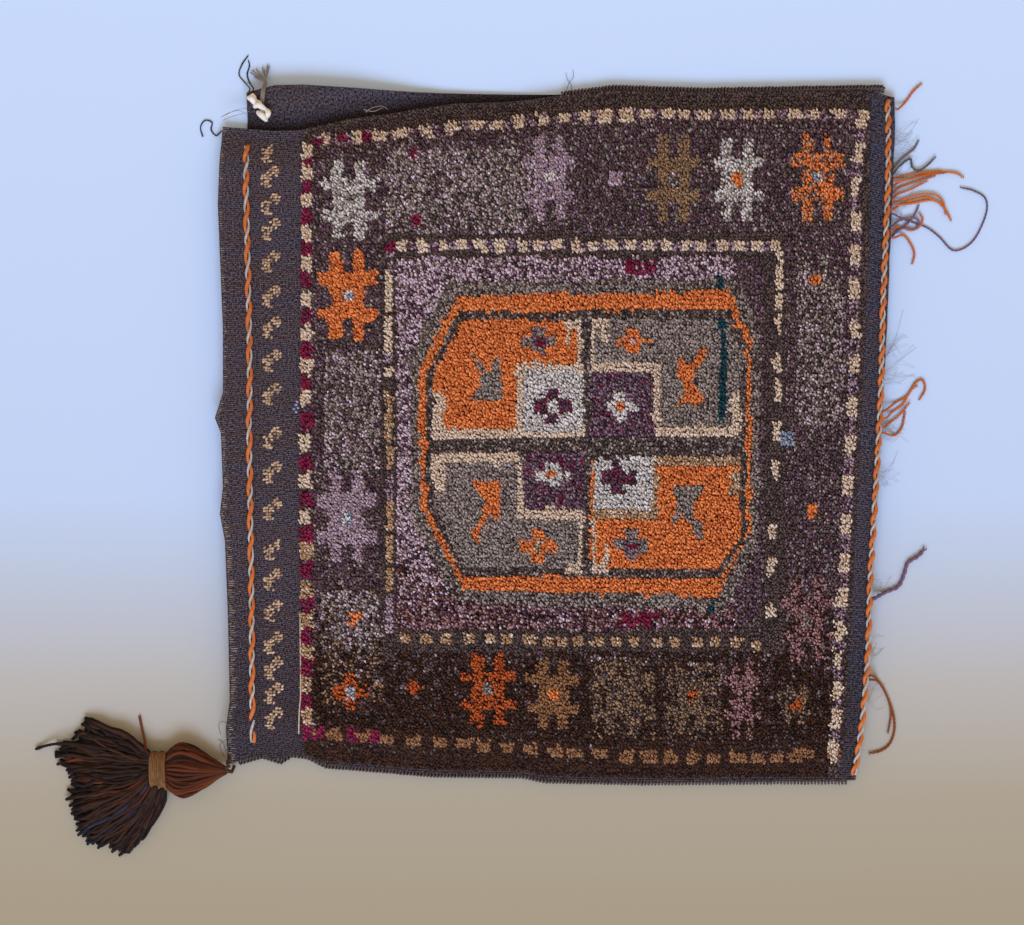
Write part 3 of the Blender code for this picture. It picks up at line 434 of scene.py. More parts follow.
# Outer guard: a line of small squares round the pile, cream above and beside the fold, tan below, and cream
# and crimson beside the strip.
upper_guard = [(312, 142), (325, 140), (400, 134), (430, 131), (520, 122), (560, 119), (640, 115)]
lower_guard = [(311, 730), (387, 736), (464, 743), (555, 749), (625, 755), (713, 755), (776, 756), (833, 751)]
fold_guard = [(861, 120), (853, 186), (854, 255), (852, 329), (851, 406), (847, 484), (842, 563), (838, 628),
              (835, 687), (833, 749)]


def squares(places, line, half_across, half_down, wool):
    """Small squares centred on a line."""
    for place in places:
        middle = down_at(line, place)
        paint(inside(place - half_across, place + half_across, middle - half_down, middle + half_down), wool)


paint((np.abs(y - down_at(upper_guard, x)) < 6) & (x > 312) & (x < 858), "lilac_dark")
squares([325, 357, 378, 401, 426, 452, 476, 497, 519, 543, 564, 585, 604, 625, 646, 667, 683, 703, 728, 748,
         768, 794, 814, 838], upper_guard, 6.2, 5.4, "cream")
squares([318, 341, 368], upper_guard, 5, 5, "crimson")
paint((np.abs(y - down_at(lower_guard, x)) < 6) & (x > 312) & (x < 840), "edge_low")
squares([311, 334, 364, 387, 412, 439, 464, 483, 508, 530, 555, 574, 599, 625, 649, 670, 692, 713, 738, 757,
         776, 793, 806, 833], lower_guard, 7.0, 5.2, "tan_low")
squares([320, 352, 374], lower_guard, 5.5, 5.5, "crimson")
for down in (152, 174, 201, 234, 264, 299, 333, 366, 397, 442, 480, 517):
    paint(inside(300, 312.5, down - 7.5, down + 7.5), "cream")
for down in (550, 588, 619, 650, 682, 715):
    paint(inside(301, 313, down - 8, down + 8), "tan")
for down in (163, 187, 217, 249, 281, 316, 350, 382, 420, 462, 499, 534, 569, 604, 634, 666, 699, 731):
    paint(inside(300, 313, down - 8, down + 8) & ~np.isin(wool_of, ("cream", "tan")), "crimson")
by_fold = np.abs(x - across_at(fold_guard, y)) < 5
paint(by_fold & (y > 108) & (y < 758), "lilac_dark")
for down in (120, 155, 186, 220, 255, 291, 329, 365, 406, 443, 484, 522, 563, 597, 628, 657, 687, 718, 749):
    paint(by_fold & (np.abs(y - down) < 9.5), "cream")

# Inner guard: a second line of small squares round the mauve field, on a dark band. It is cream and tan, and
# worn away for some lengths beside the fold.
inner_upper, inner_lower = [(391, 245.5), (778, 245.5)], [(404, 636), (754, 643)]
for band in ((381, 784, 233, 258), (381, 397, 233, 646), (762, 784, 233, 646), (381, 784, 628, 650)):
    paint(inside(*band), "edge")
paint(inside(391, 778, 240.5, 250.5), "lilac_dark")
squares([403, 422, 442, 461, 480, 500, 520, 539, 557, 576, 593, 611, 630, 648, 666, 684, 701, 721, 738, 756,
        774], inner_upper, 5.0, 5.2, "cream")
paint(inside(386, 396, 240, 251), "crimson")
squares([404, 426, 446, 469, 491, 508, 529, 546, 562, 578, 597, 615, 633, 657, 674, 695, 713, 735, 754],
        inner_lower, 5.2, 4.8, "tan")
for y0, y1, wool in ((252, 272, "lilac_dark"), (272, 300, "cream"), (300, 312, "cream"), (316, 352, "cream"),
                     (352, 364, "lilac"), (366, 376, "cream"), (392, 408, "tan"), (408, 440, "tan"),
                     (444, 470, "tan"), (474, 500, "lilac_dark"), (502, 530, "tan"), (534, 560, "tan"),
                     (564, 590, "tan"), (594, 630, "lilac")):
    paint(inside(385.5, 392.5, y0, y1), wool)
side_line = 777 - 8 * np.clip((y - 330) / 300, 0, 1)
for y0, y1 in ((250, 262), (266, 290), (294, 310), (314, 332), (352, 372), (380, 402), (420, 440), (462, 480),
               (520, 540), (556, 574), (600, 616)):
    paint((np.abs(x - side_line) < 3.2) & (y > y0) & (y < y1), "cream")

# Border figures: hooked stars, small flowers and single flecks, each tied in its own wool. Some are so worn
# that the ground shows through them.


def hash_star(x0, y0, wide, tall, body, core):
    """Two uprights crossed by two bars, with hooked ends and a small core."""
    a, b = (x - x0) / (wide / 2), (y - y0) / (tall / 2)
    upright = (np.abs(np.abs(a) - 0.40) < 0.19) & (np.abs(b) < 1.0)
    bar = (np.abs(np.abs(b) - 0.40) < 0.145) & (np.abs(a) < 1.0)
    middle = (np.abs(a) < 0.5) & (np.abs(b) < 0.42)
    paint(upright | bar | middle, body)
    if core:
        paint((np.abs(x - x0) < 5) & (np.abs(y - y0) < 6), core)


def flower(x0, y0, wide, tall, body, core):
    """Four stepped petals round a core."""
    a, b = np.abs(x - x0) / wide, np.abs(y - y0) / tall
    paint(((a < 0.34) & (b < 1)) | ((b < 0.36) & (a < 1)) | (a + b < 0.85), body)
    if core:
        paint((a < 0.26) & (b < 0.30), core)


for star in (
    (349, 200, 56, 76, "ivory_worn", "taupe"), (405, 190, 50, 74, "faded", None),
    (485, 186, 50, 74, "faded", None), (549, 179, 50, 82, "lilac", "ivory"),
    (673, 180, 52, 86, "gold", "faded"), (736, 180, 50, 80, "ivory_worn", "orange"),
    (816, 178, 52, 84, "orange_worn", "grey"), (348, 296, 58, 88, "orange", "grey"),
    (347, 517, 58, 90, "lilac", "grey"), (355, 617, 46, 60, "faded", "orange"),
    (488, 688, 56, 72, "orange_low", "taupe"), (552, 692, 52, 70, "tan_low", "orange"),
    (621, 695, 58, 76, "gold_dark", None), (690, 695, 50, 64, "gold_dark", "orange_low"),
    (741, 697, 34, 78, "lilac_low", None), (794, 702, 32, 40, "gold_dark", "orange_low"),
    (806, 619, 54, 82, "lilac_low", "olive"), (814, 280, 40, 46, "faded", "orange"),
):
    hash_star(*star)
flower(351, 690, 17, 17, "orange_low", "grey")
flower(414, 686, 7, 7, "orange_low", None)
for a, b, half, wool in ((615, 180, 6, "lilac"), (412, 155, 5, "crimson"), (417, 220, 5, "crimson"),
                         (811, 511, 6, "orange"), (785, 438, 6, "blue")):
    paint(inside(a - half, a + half, b - half, b + half), wool)
for fleck in ((622, 655, 261, 274), (618, 662, 611, 624)):
    paint(inside(*fleck) & (rng.random(len(x)) < 0.7), "crimson")

# Octagon: the figure in the middle of the field. It has a taupe outer band, an orange ring, a dark line and
# four quarters, orange and taupe in turn. Each quarter has a small square block and an L of cream lines.
ring = [(457, 296), (728, 291), (749, 340), (749, 531), (716, 596), (463, 588), (421, 505), (419, 369)]
outer_band = [(a + 9 * np.sign(a - 584), b + 13 * np.sign(b - 443)) for a, b in ring]
line_ring = [(457, 312.5), (729, 310), (745, 345), (745, 538), (719, 576), (461, 574.5), (427, 505),
             (426, 374)]
quarter_ring = [(463, 320), (727, 319.5), (739, 350), (738.5, 536), (714, 568.5), (464, 567), (433.5, 504),
                (433.5, 376.5)]
paint(within(outer_band), "taupe_dark")
paint(within(ring), "orange")
paint(within(line_ring), "bar")
inner_ring = within(quarter_ring)
for quarter, wool in (((433.5, 580.5, 316, 436), "orange"), ((590, 739, 316, 436), "taupe"),
                      ((433.5, 580.5, 456, 572), "taupe"), ((590, 739, 458, 572), "orange")):
    paint(inner_ring & inside(*quarter), wool)
quarter_blocks = {
    "tan": [(653, 738.5, 457, 467), (591, 655, 507, 517.5), (651, 657, 457, 517), (729, 738.5, 471, 493)],
    "cream": [(565, 581, 320, 329), (565, 569.5, 329, 344), (576.5, 581, 329, 363), (515, 583, 363, 371.5),
              (515, 523, 363, 430), (433.5, 445, 391, 439), (433.5, 584, 427, 438), (590, 607, 320, 328),
              (590, 594.5, 328, 363), (602.5, 607, 328, 343), (590, 659, 363, 371.5),
              (652.5, 659, 363, 436), (653, 739, 425, 436.5), (729, 739, 393, 427),
              (433.5, 522, 454, 463.5), (433.5, 446, 459, 488), (517, 522.5, 455, 518),
              (517, 583, 507.5, 519), (566, 581, 561, 571), (577.5, 582, 519, 571), (591, 595.5, 517, 561),
              (591, 608, 560, 570), (603, 608, 542, 560)],
    "ivory": [(522.5, 583, 371, 433), (592, 651.5, 457, 507)],
    "plum": [(590, 652.5, 371, 436), (522.5, 583, 453, 507.5)],
}
for wool, blocks in quarter_blocks.items():
    for block in blocks:
        paint(inside(*block), wool)

# Beasts and flowers: one small horned beast and one flower in each quarter, and a flower on each square
# block. Thin teal lines stand beside the octagon, towards the fold.
paint(within([(472, 350), (484, 366), (491, 374), (494, 357), (501, 357), (501, 401), (472, 401), (473, 393),
              (482, 386), (480, 374)]), "taupe")
paint(within([(675, 359), (681, 358), (686, 366), (703, 348), (703, 357), (691, 377), (692, 381), (703, 399),
              (703, 404), (675, 404), (681, 394), (681, 381), (676, 371)]), "orange")
paint(within([(472, 479), (500, 479), (500, 521), (493, 515), (489, 512), (480, 529), (478, 542), (474, 542),
              (474, 529), (484, 512), (485, 500), (472, 484)]), "orange")
paint(within([(672, 484), (703, 484), (701, 495), (691, 503), (695, 517), (701, 527), (700, 540), (694, 539),
              (690, 524), (681, 515), (670, 529), (672, 518), (674, 507)]), "taupe")
flower(538, 341.5, 19, 12.5, "grey_petal", "crimson")
flower(631.5, 341, 18, 12.5, "orange", "lilac")
flower(538, 545, 18, 16, "orange", "tan")
flower(630.5, 545, 17, 15, "grey_petal", "crimson")
flower(552, 406.5, 19, 18, "plum_petal", "ivory")
flower(620.5, 406.5, 14.5, 16.5, "ivory", "orange")
flower(552.5, 474, 16.5, 12.5, "ivory", "orange")
flower(617, 477, 16, 15.5, "plum_petal", None)
for teal_line in ((718, 725, 318, 422), (716, 721, 274, 291), (708, 713, 597, 611)):
    paint(inside(*teal_line), "teal")

# Wools: each field of the pattern is tied in one wool or a mix, and cut to its own height. The mixes give
# that height in millimetres and the share of each wool, and the wools give the darkest and lightest shade of
# each.
mixes = {
    "border": (3.2, {"brown": 0.5, "aubergine": 0.26, "dusk": 0.14, "taupe": 0.1}),
    "faded": (3.2, {"brown": 0.34, "taupe": 0.46, "mauve": 0.2}),
    "field": (3.4, {"brown": 0.12, "aubergine": 0.22, "mauve": 0.58, "taupe": 0.08}),
    "field_dark": (3.3, {"brown": 0.42, "aubergine": 0.34, "dusk": 0.24}),
    "edge": (2.6, {"brown": 1}),
    "lilac_dark": (3.2, {"lilac": 0.5, "aubergine": 0.3, "brown": 0.2}),
    "lilac": (3.7, {"lilac": 0.88, "mauve": 0.12}),
    "grey_petal": (3.6, {"taupe": 0.6, "dusk": 0.4}),
    "plum_petal": (3.6, {"aubergine": 0.8, "crimson": 0.2}),
    "ivory": (3.8, {"ivory": 1}),
    "cream": (3.8, {"cream": 1}),
    "tan": (3.7, {"tan": 0.8, "cream": 0.2}),
    "orange": (3.8, {"orange": 1}),
    "ivory_worn": (3.6, {"ivory": 0.68, "taupe": 0.32}),
    "orange_worn": (3.6, {"orange": 0.74, "taupe": 0.14, "brown": 0.12}),
    # The _low mixes here are darker for the lower side, partly their own colour and partly painted shade.
    "orange_low": (3.6, {"rust": 0.86, "umber": 0.14}),
    "tan_low": (3.5, {"ochre": 1}),
    "border_low": (3.1, {"umber": 0.84, "brown": 0.16}),
    "faded_low": (3.2, {"umber": 0.46, "brown": 0.26, "gold": 0.28}),
    "edge_low": (2.6, {"umber": 1}),
    "field_low": (3.3, {"umber": 0.26, "aubergine": 0.22, "rose": 0.44, "mauve": 0.08}),
    "lilac_low": (3.5, {"rose": 0.74, "umber": 0.26}),
    "crimson": (3.5, {"crimson": 0.85, "aubergine": 0.15}),
    "plum": (3.5, {"aubergine": 0.46, "crimson": 0.06, "dusk": 0.48}),
    "bar": (3, {"brown": 0.72, "taupe": 0.28}),
    "gold": (3.6, {"gold": 1}),
    "gold_dark": (3.4, {"gold": 0.55, "brown": 0.45}),
    "olive": (3.4, {"taupe": 0.6, "gold": 0.25, "brown": 0.15}),
    "taupe": (3.5, {"taupe": 0.92, "brown": 0.08}),
    "taupe_dark": (3.4, {"taupe": 0.7, "brown": 0.3}),
    "grey": (3.5, {"ivory": 0.4, "blue": 0.6}),
    "blue": (3.5, {"blue": 1}),
    "teal": (3.5, {"teal": 1}),
}
wools = {
    "brown": ((48, 37, 36), (104, 86, 80)),
    "aubergine": ((54, 31, 42), (112, 78, 94)),
    # The next four wools serve the lower side: partly their own colour and partly painted shade.
    "umber": ((28, 14, 7), (76, 46, 31)),
    "rust": ((138, 58, 22), (202, 100, 48)),
    "ochre": ((110, 74, 48), (160, 116, 78)),
    "rose": ((104, 70, 70), (176, 134, 132)),
    "dusk": ((84, 66, 74), (150, 126, 138)),
    "mauve": ((142, 116, 128), (222, 200, 212)),
    "taupe": ((98, 87, 81), (174, 160, 152)),
    "lilac": ((126, 102, 114), (184, 162, 172)),
    "ivory": ((164, 159, 154), (228, 222, 218)),
    "cream": ((190, 166, 140), (226, 206, 186)),
    "tan": ((146, 112, 80), (188, 154, 120)),
    "orange": ((178, 88, 42), (242, 148, 84)),
    "crimson": ((92, 14, 42), (150, 36, 74)),
    "gold": ((110, 84, 62), (162, 130, 100)),
    "blue": ((104, 112, 130), (160, 168, 186)),
    "teal": ((14, 48, 56), (30, 76, 82)),
}


def dyed(name, dark, light, grain, depth=0.0):
    """Wool between two shades: each tuft or strand has its own, and fine grain runs over it."""
    material = bpy.data.materials.new(name)
    material.use_nodes = True
    tree = material.node_tree
    shader = tree.nodes["Principled BSDF"]
    shader.inputs["Roughness"].default_value = 0.92
    shader.inputs["Specular IOR Level"].default_value = 0.2
    own = add_node(tree, "ShaderNodeAttribute", attribute_name="shade")
    coordinates = add_node(tree, "ShaderNodeTexCoord")
    fine = add_node(tree, "ShaderNodeTexNoise", {"Scale": grain, "Detail": 2.0})
    shift = add_node(tree, "ShaderNodeMath", {1: 0.5}, operation="SUBTRACT")
    both = add_node(tree, "ShaderNodeMath", {1: 1.0}, operation="MULTIPLY_ADD", use_clamp=True)
    mix = add_node(tree, "ShaderNodeMix", data_type="RGBA")
    mix.inputs["A"].default_value = linear(*dark)
    mix.inputs["B"].default_value = linear(*light)
    join(tree,
         (coordinates.outputs["Object"], fine.inputs["Vector"]),
         (own.outputs["Fac"], shift.inputs[0]),
         (fine.outputs["Fac"], both.inputs[0]),
         (shift.outputs[0], both.inputs[2]),
         (both.outputs[0], mix.inputs["Factor"]),
         (mix.outputs["Result"], shader.inputs["Base Color"]))
    if depth:
        bump = add_node(tree, "ShaderNodeBump", {"Distance": depth, "Strength": 0.8})
        join(tree,
             (fine.outputs["Fac"], bump.inputs["Height"]),
             (bump.outputs["Normal"], shader.inputs["Normal"]))
    return material


# Tufts: small six-sided tips, repeated over the ends of the knots by Geometry Nodes. Each has its own size,
# turn and shade, and together they make one plain mesh for each wool.
tuft_mesh = bpy.data.meshes.new("tuft")
tuft_mesh.from_pydata(
    [(0.95, 0, 0), (-0.50, 0.85, 0), (-0.50, -0.85, 0), (0.66, 0, 0.66), (-0.35, 0.60, 0.66),
     (-0.35, -0.60, 0.66), (0, 0, 1)], [],
    [(0, 2, 1), (0, 1, 4, 3), (1, 2, 5, 4), (2, 0, 3, 5), (3, 4, 6), (4, 5, 6), (5, 3, 6)])
tuft_mesh.shade_smooth()
tuft = bpy.data.objects.new("tuft", tuft_mesh)
pile_tree = bpy.data.node_groups.new("pile", "GeometryNodeTree")
sockets = pile_tree.interface
sockets.new_socket("Geometry", in_out="INPUT", socket_type="NodeSocketGeometry")
for title, kind in (("Tuft", "Object"), ("Wool", "Material"), ("Spread", "Float"), ("Seed", "Int")):
    sockets.new_socket(title, in_out="INPUT", socket_type="NodeSocket" + kind)
sockets.new_socket("Geometry", in_out="OUTPUT", socket_type="NodeSocketGeometry")
given = add_node(pile_tree, "NodeGroupInput")
made = add_node(pile_tree, "NodeGroupOutput")
read_size = add_node(pile_tree, "GeometryNodeInputNamedAttribute", {"Name": "size"}, data_type="FLOAT_VECTOR")
read_turn = add_node(pile_tree, "GeometryNodeInputNamedAttribute", {"Name": "turn"}, data_type="FLOAT_VECTOR")
loose = add_node(pile_tree, "FunctionNodeRandomValue", {"Min": (-1.0, -1.0, -1.0)}, data_type="FLOAT_VECTOR")
scaled = add_node(pile_tree, "ShaderNodeVectorMath", operation="SCALE")
summed = add_node(pile_tree, "ShaderNodeVectorMath")
as_rotation = add_node(pile_tree, "FunctionNodeEulerToRotation")
placed = add_node(pile_tree, "GeometryNodeInstanceOnPoints")
source = add_node(pile_tree, "GeometryNodeObjectInfo")
own_shade = add_node(pile_tree, "FunctionNodeRandomValue", data_type="FLOAT")
keep = add_node(pile_tree, "GeometryNodeStoreNamedAttribute", {"Name": "shade"}, data_type="FLOAT",
                domain="INSTANCE")
real = add_node(pile_tree, "GeometryNodeRealizeInstances")
dress = add_node(pile_tree, "GeometryNodeSetMaterial")
join(pile_tree,
     (given.outputs["Seed"], loose.inputs["Seed"]),
     (given.outputs["Seed"], own_shade.inputs["Seed"]),
     (loose.outputs[0], scaled.inputs[0]),
     (given.outputs["Spread"], scaled.inputs["Scale"]),
     (scaled.outputs[0], summed.inputs[0]),
     (read_turn.outputs["Attribute"], summed.inputs[1]),
     (summed.outputs[0], as_rotation.inputs[0]),
     (given.outputs["Tuft"], source.inputs["Object"]),
     (given.outputs["Geometry"], placed.inputs["Points"]),
     (source.outputs["Geometry"], placed.inputs["Instance"]),
     (as_rotation.outputs[0], placed.inputs["Rotation"]),
     (read_size.outputs["Attribute"], placed.inputs["Scale"]),
     (placed.outputs["Instances"], keep.inputs["Geometry"]),
     (own_shade.outputs[1], keep.inputs["Value"]),
     (keep.outputs["Geometry"], real.inputs["Geometry"]),
     (real.outputs["Geometry"], dress.inputs["Geometry"]),
     (given.outputs["Wool"], dress.inputs["Material"]),
     (dress.outputs["Geometry"], made.inputs["Geometry"]))
socket = {item.name: item.identifier for item in sockets.items_tree if item.in_out == "INPUT"}


def grow(name, points, sizes, turns, unit, wool, spread, seed):
    """Repeats a small shape over points, each with its size and turn, as one plain mesh piece."""
    mesh = bpy.data.meshes.new(name)
    mesh.from_pydata([tuple(p) for p in points], [], [])
    mesh.attributes.new("size", "FLOAT_VECTOR", "POINT").data.foreach_set("vector", np.ravel(sizes))
    mesh.attributes.new("turn", "FLOAT_VECTOR", "POINT").data.foreach_set("vector", np.ravel(turns))
    holder = bpy.data.objects.new(name + "_points", mesh)
    scene.collection.objects.link(holder)
    modifier = holder.modifiers.new("pile", "NODES")
    modifier.node_group = pile_tree
    for title, value in (("Tuft", unit), ("Wool", wool), ("Spread", spread), ("Seed", seed)):
        modifier[socket[title]] = value
    bpy.context.view_layer.update()
    grown_mesh = bpy.data.meshes.new_from_object(holder.evaluated_get(bpy.context.evaluated_depsgraph_get()))
    bpy.data.objects.remove(holder, do_unlink=True)
    piece = bpy.data.objects.new(name, grown_mesh)
    scene.collection.objects.link(piece)
    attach(piece, "root")
    return piece


tuft_ends = ((-0.9, -1.3), (0.9, -0.2), (-0.4, 1.4))
tuft_wide, tuft_thick, tuft_sunk = 0.0018, 0.0015, 0.0004
lean, heading, tuft_spread = math.radians(43), math.radians(128), 0.28
most_in_a_piece = 18000
yarn_of = np.empty((len(tuft_ends), len(knots)), dtype="U16")
tuft_height = np.empty(len(knots))
for field, (height, mix) in mixes.items():
    chosen = np.flatnonzero(wool_of == field)
    shares = np.array(list(mix.values()))
    yarn_of[:, chosen] = rng.choice(list(mix), (len(tuft_ends), len(chosen)), p=shares / sum(shares))
    tuft_height[chosen] = height / 1000
ends = np.concatenate([knots + end for end in tuft_ends])
ends += rng.normal(0, 0.4, ends.shape)
end_wool = yarn_of.ravel()
end_height = np.tile(tuft_height, len(tuft_ends)) * rng.uniform(0.80, 1.12, len(ends))
ground_height = front_height(ends[:, 0], ends[:, 1])
for index, (name, (dark, light)) in enumerate(wools.items()):
    chosen = np.flatnonzero(end_wool == name)
    material = dyed(name + "_wool", dark, light, grain=1400)
    for part_index, group in enumerate(np.array_split(chosen, 1 + len(chosen) // most_in_a_piece)):
        count = len(group)
        places = np.stack([*spot(ends[group, 0], ends[group, 1])[:2], ground_height[group] - tuft_sunk], -1)
        sizes = np.stack([np.full(count, tuft_wide), np.full(count, tuft_thick),
                         end_height[group] / math.cos(lean)], -1)
        turns = np.tile((0.0, lean, heading), (count, 1))
        grow(f"pile_{name}_{part_index + 1}", places, sizes, turns, tuft, material, tuft_spread,
             index * 5 + part_index)

# Mouth twining: an orange strand turned with a grey one, which lie across the strip like a cord sewn on. The
# fold twining is the same with cream, along the bottom of the pocket.
twining_lift, twining_swing = 0.0016, 0.0016
mouth_turn, fold_turn = 0.028, 0.0195
mouth_line = [(247, 146), (247.5, 190), (249, 260), (250.5, 330), (251, 393), (250.5, 430), (251.5, 500),
              (253, 600), (253.5, 690), (253, 742)]
fold_line = [(888, 100), (887, 170), (885, 229), (882, 300), (880, 383), (877, 449), (873, 516), (869, 585),
             (867, 650), (863, 702), (858, 745), (854, 775)]


def route(points, spacing=0.0015):
    """Places close together on a smooth line through the points."""
    knots_in = [Vector(p) for p in points]
    knots_in = [2 * knots_in[0] - knots_in[1], *knots_in, 2 * knots_in[-1] - knots_in[-2]]
    places = []
    for k in range(1, len(knots_in) - 2):
        before, start, end, after = knots_in[k - 1 : k + 3]
        steps = max(2, round((end - start).length / spacing))
        for index in range(steps):
            s = index / steps
            place = 2 * start + (end - before) * s + (2 * before - 5 * start + 4 * end - after) * s**2
            places.append((place + (3 * start - before - 3 * end + after) * s**3) / 2)
    return np.array([*places, knots_in[-2]])


def side_and_above(places):
    """Directions to the side of a line and above it, at each of its places."""
    ahead = np.gradient(places, axis=0)
    ahead /= np.linalg.norm(ahead, axis=1)[:, None] + 1e-12
    side = np.cross(ahead, (0.0, 0.0, 1.0))
    side /= np.linalg.norm(side, axis=1)[:, None] + 1e-9
    return side, np.cross(side, ahead)


def walked_along(places):
    """Length of a line from its first place to each."""
    return np.concatenate([[0], np.cumsum(np.linalg.norm(np.diff(places, axis=0), axis=1))])


def tube_rings(places, radii, sides, points, faces):
    """Adds a round tube along the places, closed at both ends."""
    count = len(places)
    side, above = side_and_above(places)
    first = len(points)
    turns = 2 * math.pi * np.arange(sides) / sides
    radii = np.broadcast_to(radii, count)
    rings = places[:, None] + radii[:, None, None] * (
        np.cos(turns)[None, :, None] * side[:, None] + np.sin(turns)[None, :, None] * above[:, None])
    points.extend(rings.reshape(-1, 3))
    for k in range(count - 1):
        for j in range(sides):
            a, b = first + k * sides + j, first + k * sides + (j + 1) % sides
            faces.append((a, a + sides, b + sides, b))
    points.extend((places[0], places[-1]))
    low, high = len(points) - 2, len(points) - 1
    for j in range(sides):
        faces.append((low, first + j, first + (j + 1) % sides))
        faces.append((high, first + (count - 1) * sides + (j + 1) % sides, first + (count - 1) * sides + j))


def yarn_dye(name, dark, light):
    return dyed(name, dark, light, grain=2600, depth=0.0003)


def twined(name, line, strands, turn_length):
    """Strands turned round each other along a line on the front wall. Each is (name, radius, start, material,
    slot, CAD node); the slot is not used."""
    heights = front_height([a for a, _ in line], [d for _, d in line])
    places = route([spot(a, d, h + twining_lift) for (a, d), h in zip(line, heights)], 0.0022)
    walked = walked_along(places)
    wobble = np.array([noise.noise((60 * w, 3, 1)) for w in walked])
    for strand_name, radius, start, material, record_slot, node in strands:
        turn = 2 * math.pi * (walked / turn_length + 0.12 * wobble) + start
        swing = np.stack([np.cos(turn), np.zeros_like(turn), 0.7 * np.sin(turn)], -1)
        plump = radius * (0.82 + 0.26 * np.clip(np.sin(turn), 0, 1))
        points, faces = [], []
        tube_rings(places + twining_swing * swing, plump, 7, points, faces)
        shades = rng.uniform(0.2, 0.8, len(points))
        solid_piece(f"{name}_{strand_name}", points, faces, material, [node], shades)


orange_yarn = yarn_dye("orange_yarn", (158, 76, 30), (214, 126, 66))
grey_yarn = yarn_dye("grey_yarn", (120, 112, 106), (206, 198, 188))
twined("mouth_twining", mouth_line, [
    ("orange", 0.00175, 0.4, orange_yarn, "orange_wool", "mouth_twining_orange"),
    ("grey", 0.00115, 0.4 + math.pi, grey_yarn, "grey_wool", "mouth_twining_grey"),
], mouth_turn)
twined("fold_twining", fold_line, [
    ("orange", 0.0017, 1.0, orange_yarn, "orange_wool", "fold_twining_orange"),
    ("cream", 0.0011, 1.0 + math.pi, grey_yarn, "cream_wool", "fold_twining_cream"),
], fold_turn)

# Strip figures: a row of small stepped figures on the mouth strip. They are floats of cream weft that pass
# over the ribs. One bluish fleck lies where the strip meets the pile.
stitch_mesh = bpy.data.meshes.new("stitch")
stitch_mesh.from_pydata(
    [(-0.5, 0, 0), (-0.25, -0.5, 0), (-0.25, 0.5, 0), (-0.25, 0, 0.5), (0.25, -0.5, 0), (0.25, 0.5, 0),
     (0.25, 0, 0.5), (0.5, 0, 0), (-0.25, 0, -0.5), (0.25, 0, -0.5)], [],
    [(0, 1, 3), (0, 3, 2), (0, 2, 8), (0, 8, 1), (1, 4, 6, 3), (3, 6, 5, 2), (2, 5, 9, 8), (8, 9, 4, 1),
     (4, 7, 6), (6, 7, 5), (5, 7, 9), (9, 7, 4)])
stitch_mesh.shade_smooth()
stitch = bpy.data.objects.new("stitch", stitch_mesh)
figure = ["....##.", "...####", "..#.###", "####.#.", "####...", ".##....", "###....", ".###..."]
stitches = []
stitch_across, stitch_down, stitch_lift, stitch_slant = 2.7, 2.8, 0.0004, math.radians(35)
stitch_size, fleck_size = (0.0034, 0.0021, 0.0016), (0.003, 0.002, 0.0018)
figure_places = (152, 178, 205, 230, 262, 297, 328, 361, 394, 438, 472, 509, 549, 579, 610, 642, 667, 692,
                 717)
for number, down in enumerate(figure_places):
    middle = 271.5 + 3.5 * (down - 150) / 570
    for row_index, row in enumerate(figure):
        for column, mark in enumerate(row):
            if mark == "#" and not (number == 0 and column > 3) and rng.random() < 0.94:
                stitches.append((middle + (column - 3) * stitch_across,
                                 down + (row_index - 3.5) * stitch_down))
count = len(stitches)
stitches = np.array(stitches) + rng.normal(0, 0.35, (count, 2))
stitch_places = np.stack([*spot(stitches[:, 0], stitches[:, 1])[:2],
                          front_height(stitches[:, 0], stitches[:, 1]) + stitch_lift], -1)
stitch_sizes = np.tile(stitch_size, (count, 1))
stitch_turns = np.stack([np.zeros(count), np.zeros(count), rng.normal(stitch_slant, 0.5, count)], -1)
cream_weft = dyed("cream_weft", (138, 112, 88), (204, 174, 144), grain=2000)
grow("strip_figures", stitch_places, stitch_sizes, stitch_turns, stitch, cream_weft, 0.25, 91)
fleck = [(297, 405), (299, 408), (295, 409), (297, 412), (298, 402)]
count = len(fleck)
fleck_places = np.array([spot(a, d, float(front_height(a, d)) + 2 * stitch_lift) for a, d in fleck])
fleck_sizes = np.tile(fleck_size, (count, 1))
fleck_wool = dyed("fleck_wool", (120, 118, 150), (170, 170, 200), grain=2000)
grow("strip_fleck", fleck_places, fleck_sizes, np.zeros((count, 3)), stitch, fleck_wool, 0.6, 92)

# Seams: dark wool overcast round both edges, one slanting wrap after another, which joins the two walls. The
# upper seam is only left from the middle to the fold.
wrap_pitch, wrap_across, wrap_high, wrap_middle, wrap_radius = 0.0029, 0.0021, 0.0030, 0.0042, 0.0010
wrap_spacing = 0.00023
seam_wraps = dyed("seam_wraps", (48, 38, 36), (96, 80, 74), grain=2200, depth=0.0003)


def overcast(name, outline, start, end, outward, node):
    across = np.linspace(start, end, round((end - start) * step / wrap_spacing))
    turn = 2 * math.pi * (across - start) * step / wrap_pitch
    uneven = 0.0012 + 0.0004 * np.array([noise.noise((a / 9, 5, 2)) for a in across])
    edge_x, edge_y, _ = spot(across, down_at(outline, across))
    places = np.stack([edge_x, edge_y + outward * uneven + wrap_across * np.cos(turn),
                       wrap_middle + wrap_high * np.sin(turn)], -1)
    points, faces = [], []
    tube_rings(places, wrap_radius, 5, points, faces)
    solid_piece(name, points, faces, seam_wraps, [node], rng.uniform(0.1, 0.9, len(points)))


overcast("seam_lower_wraps", front_lower, 238, 848, -1, "seam_lower")
overcast("seam_upper_wraps", front_upper, 562, 886, 1, "seam_upper")

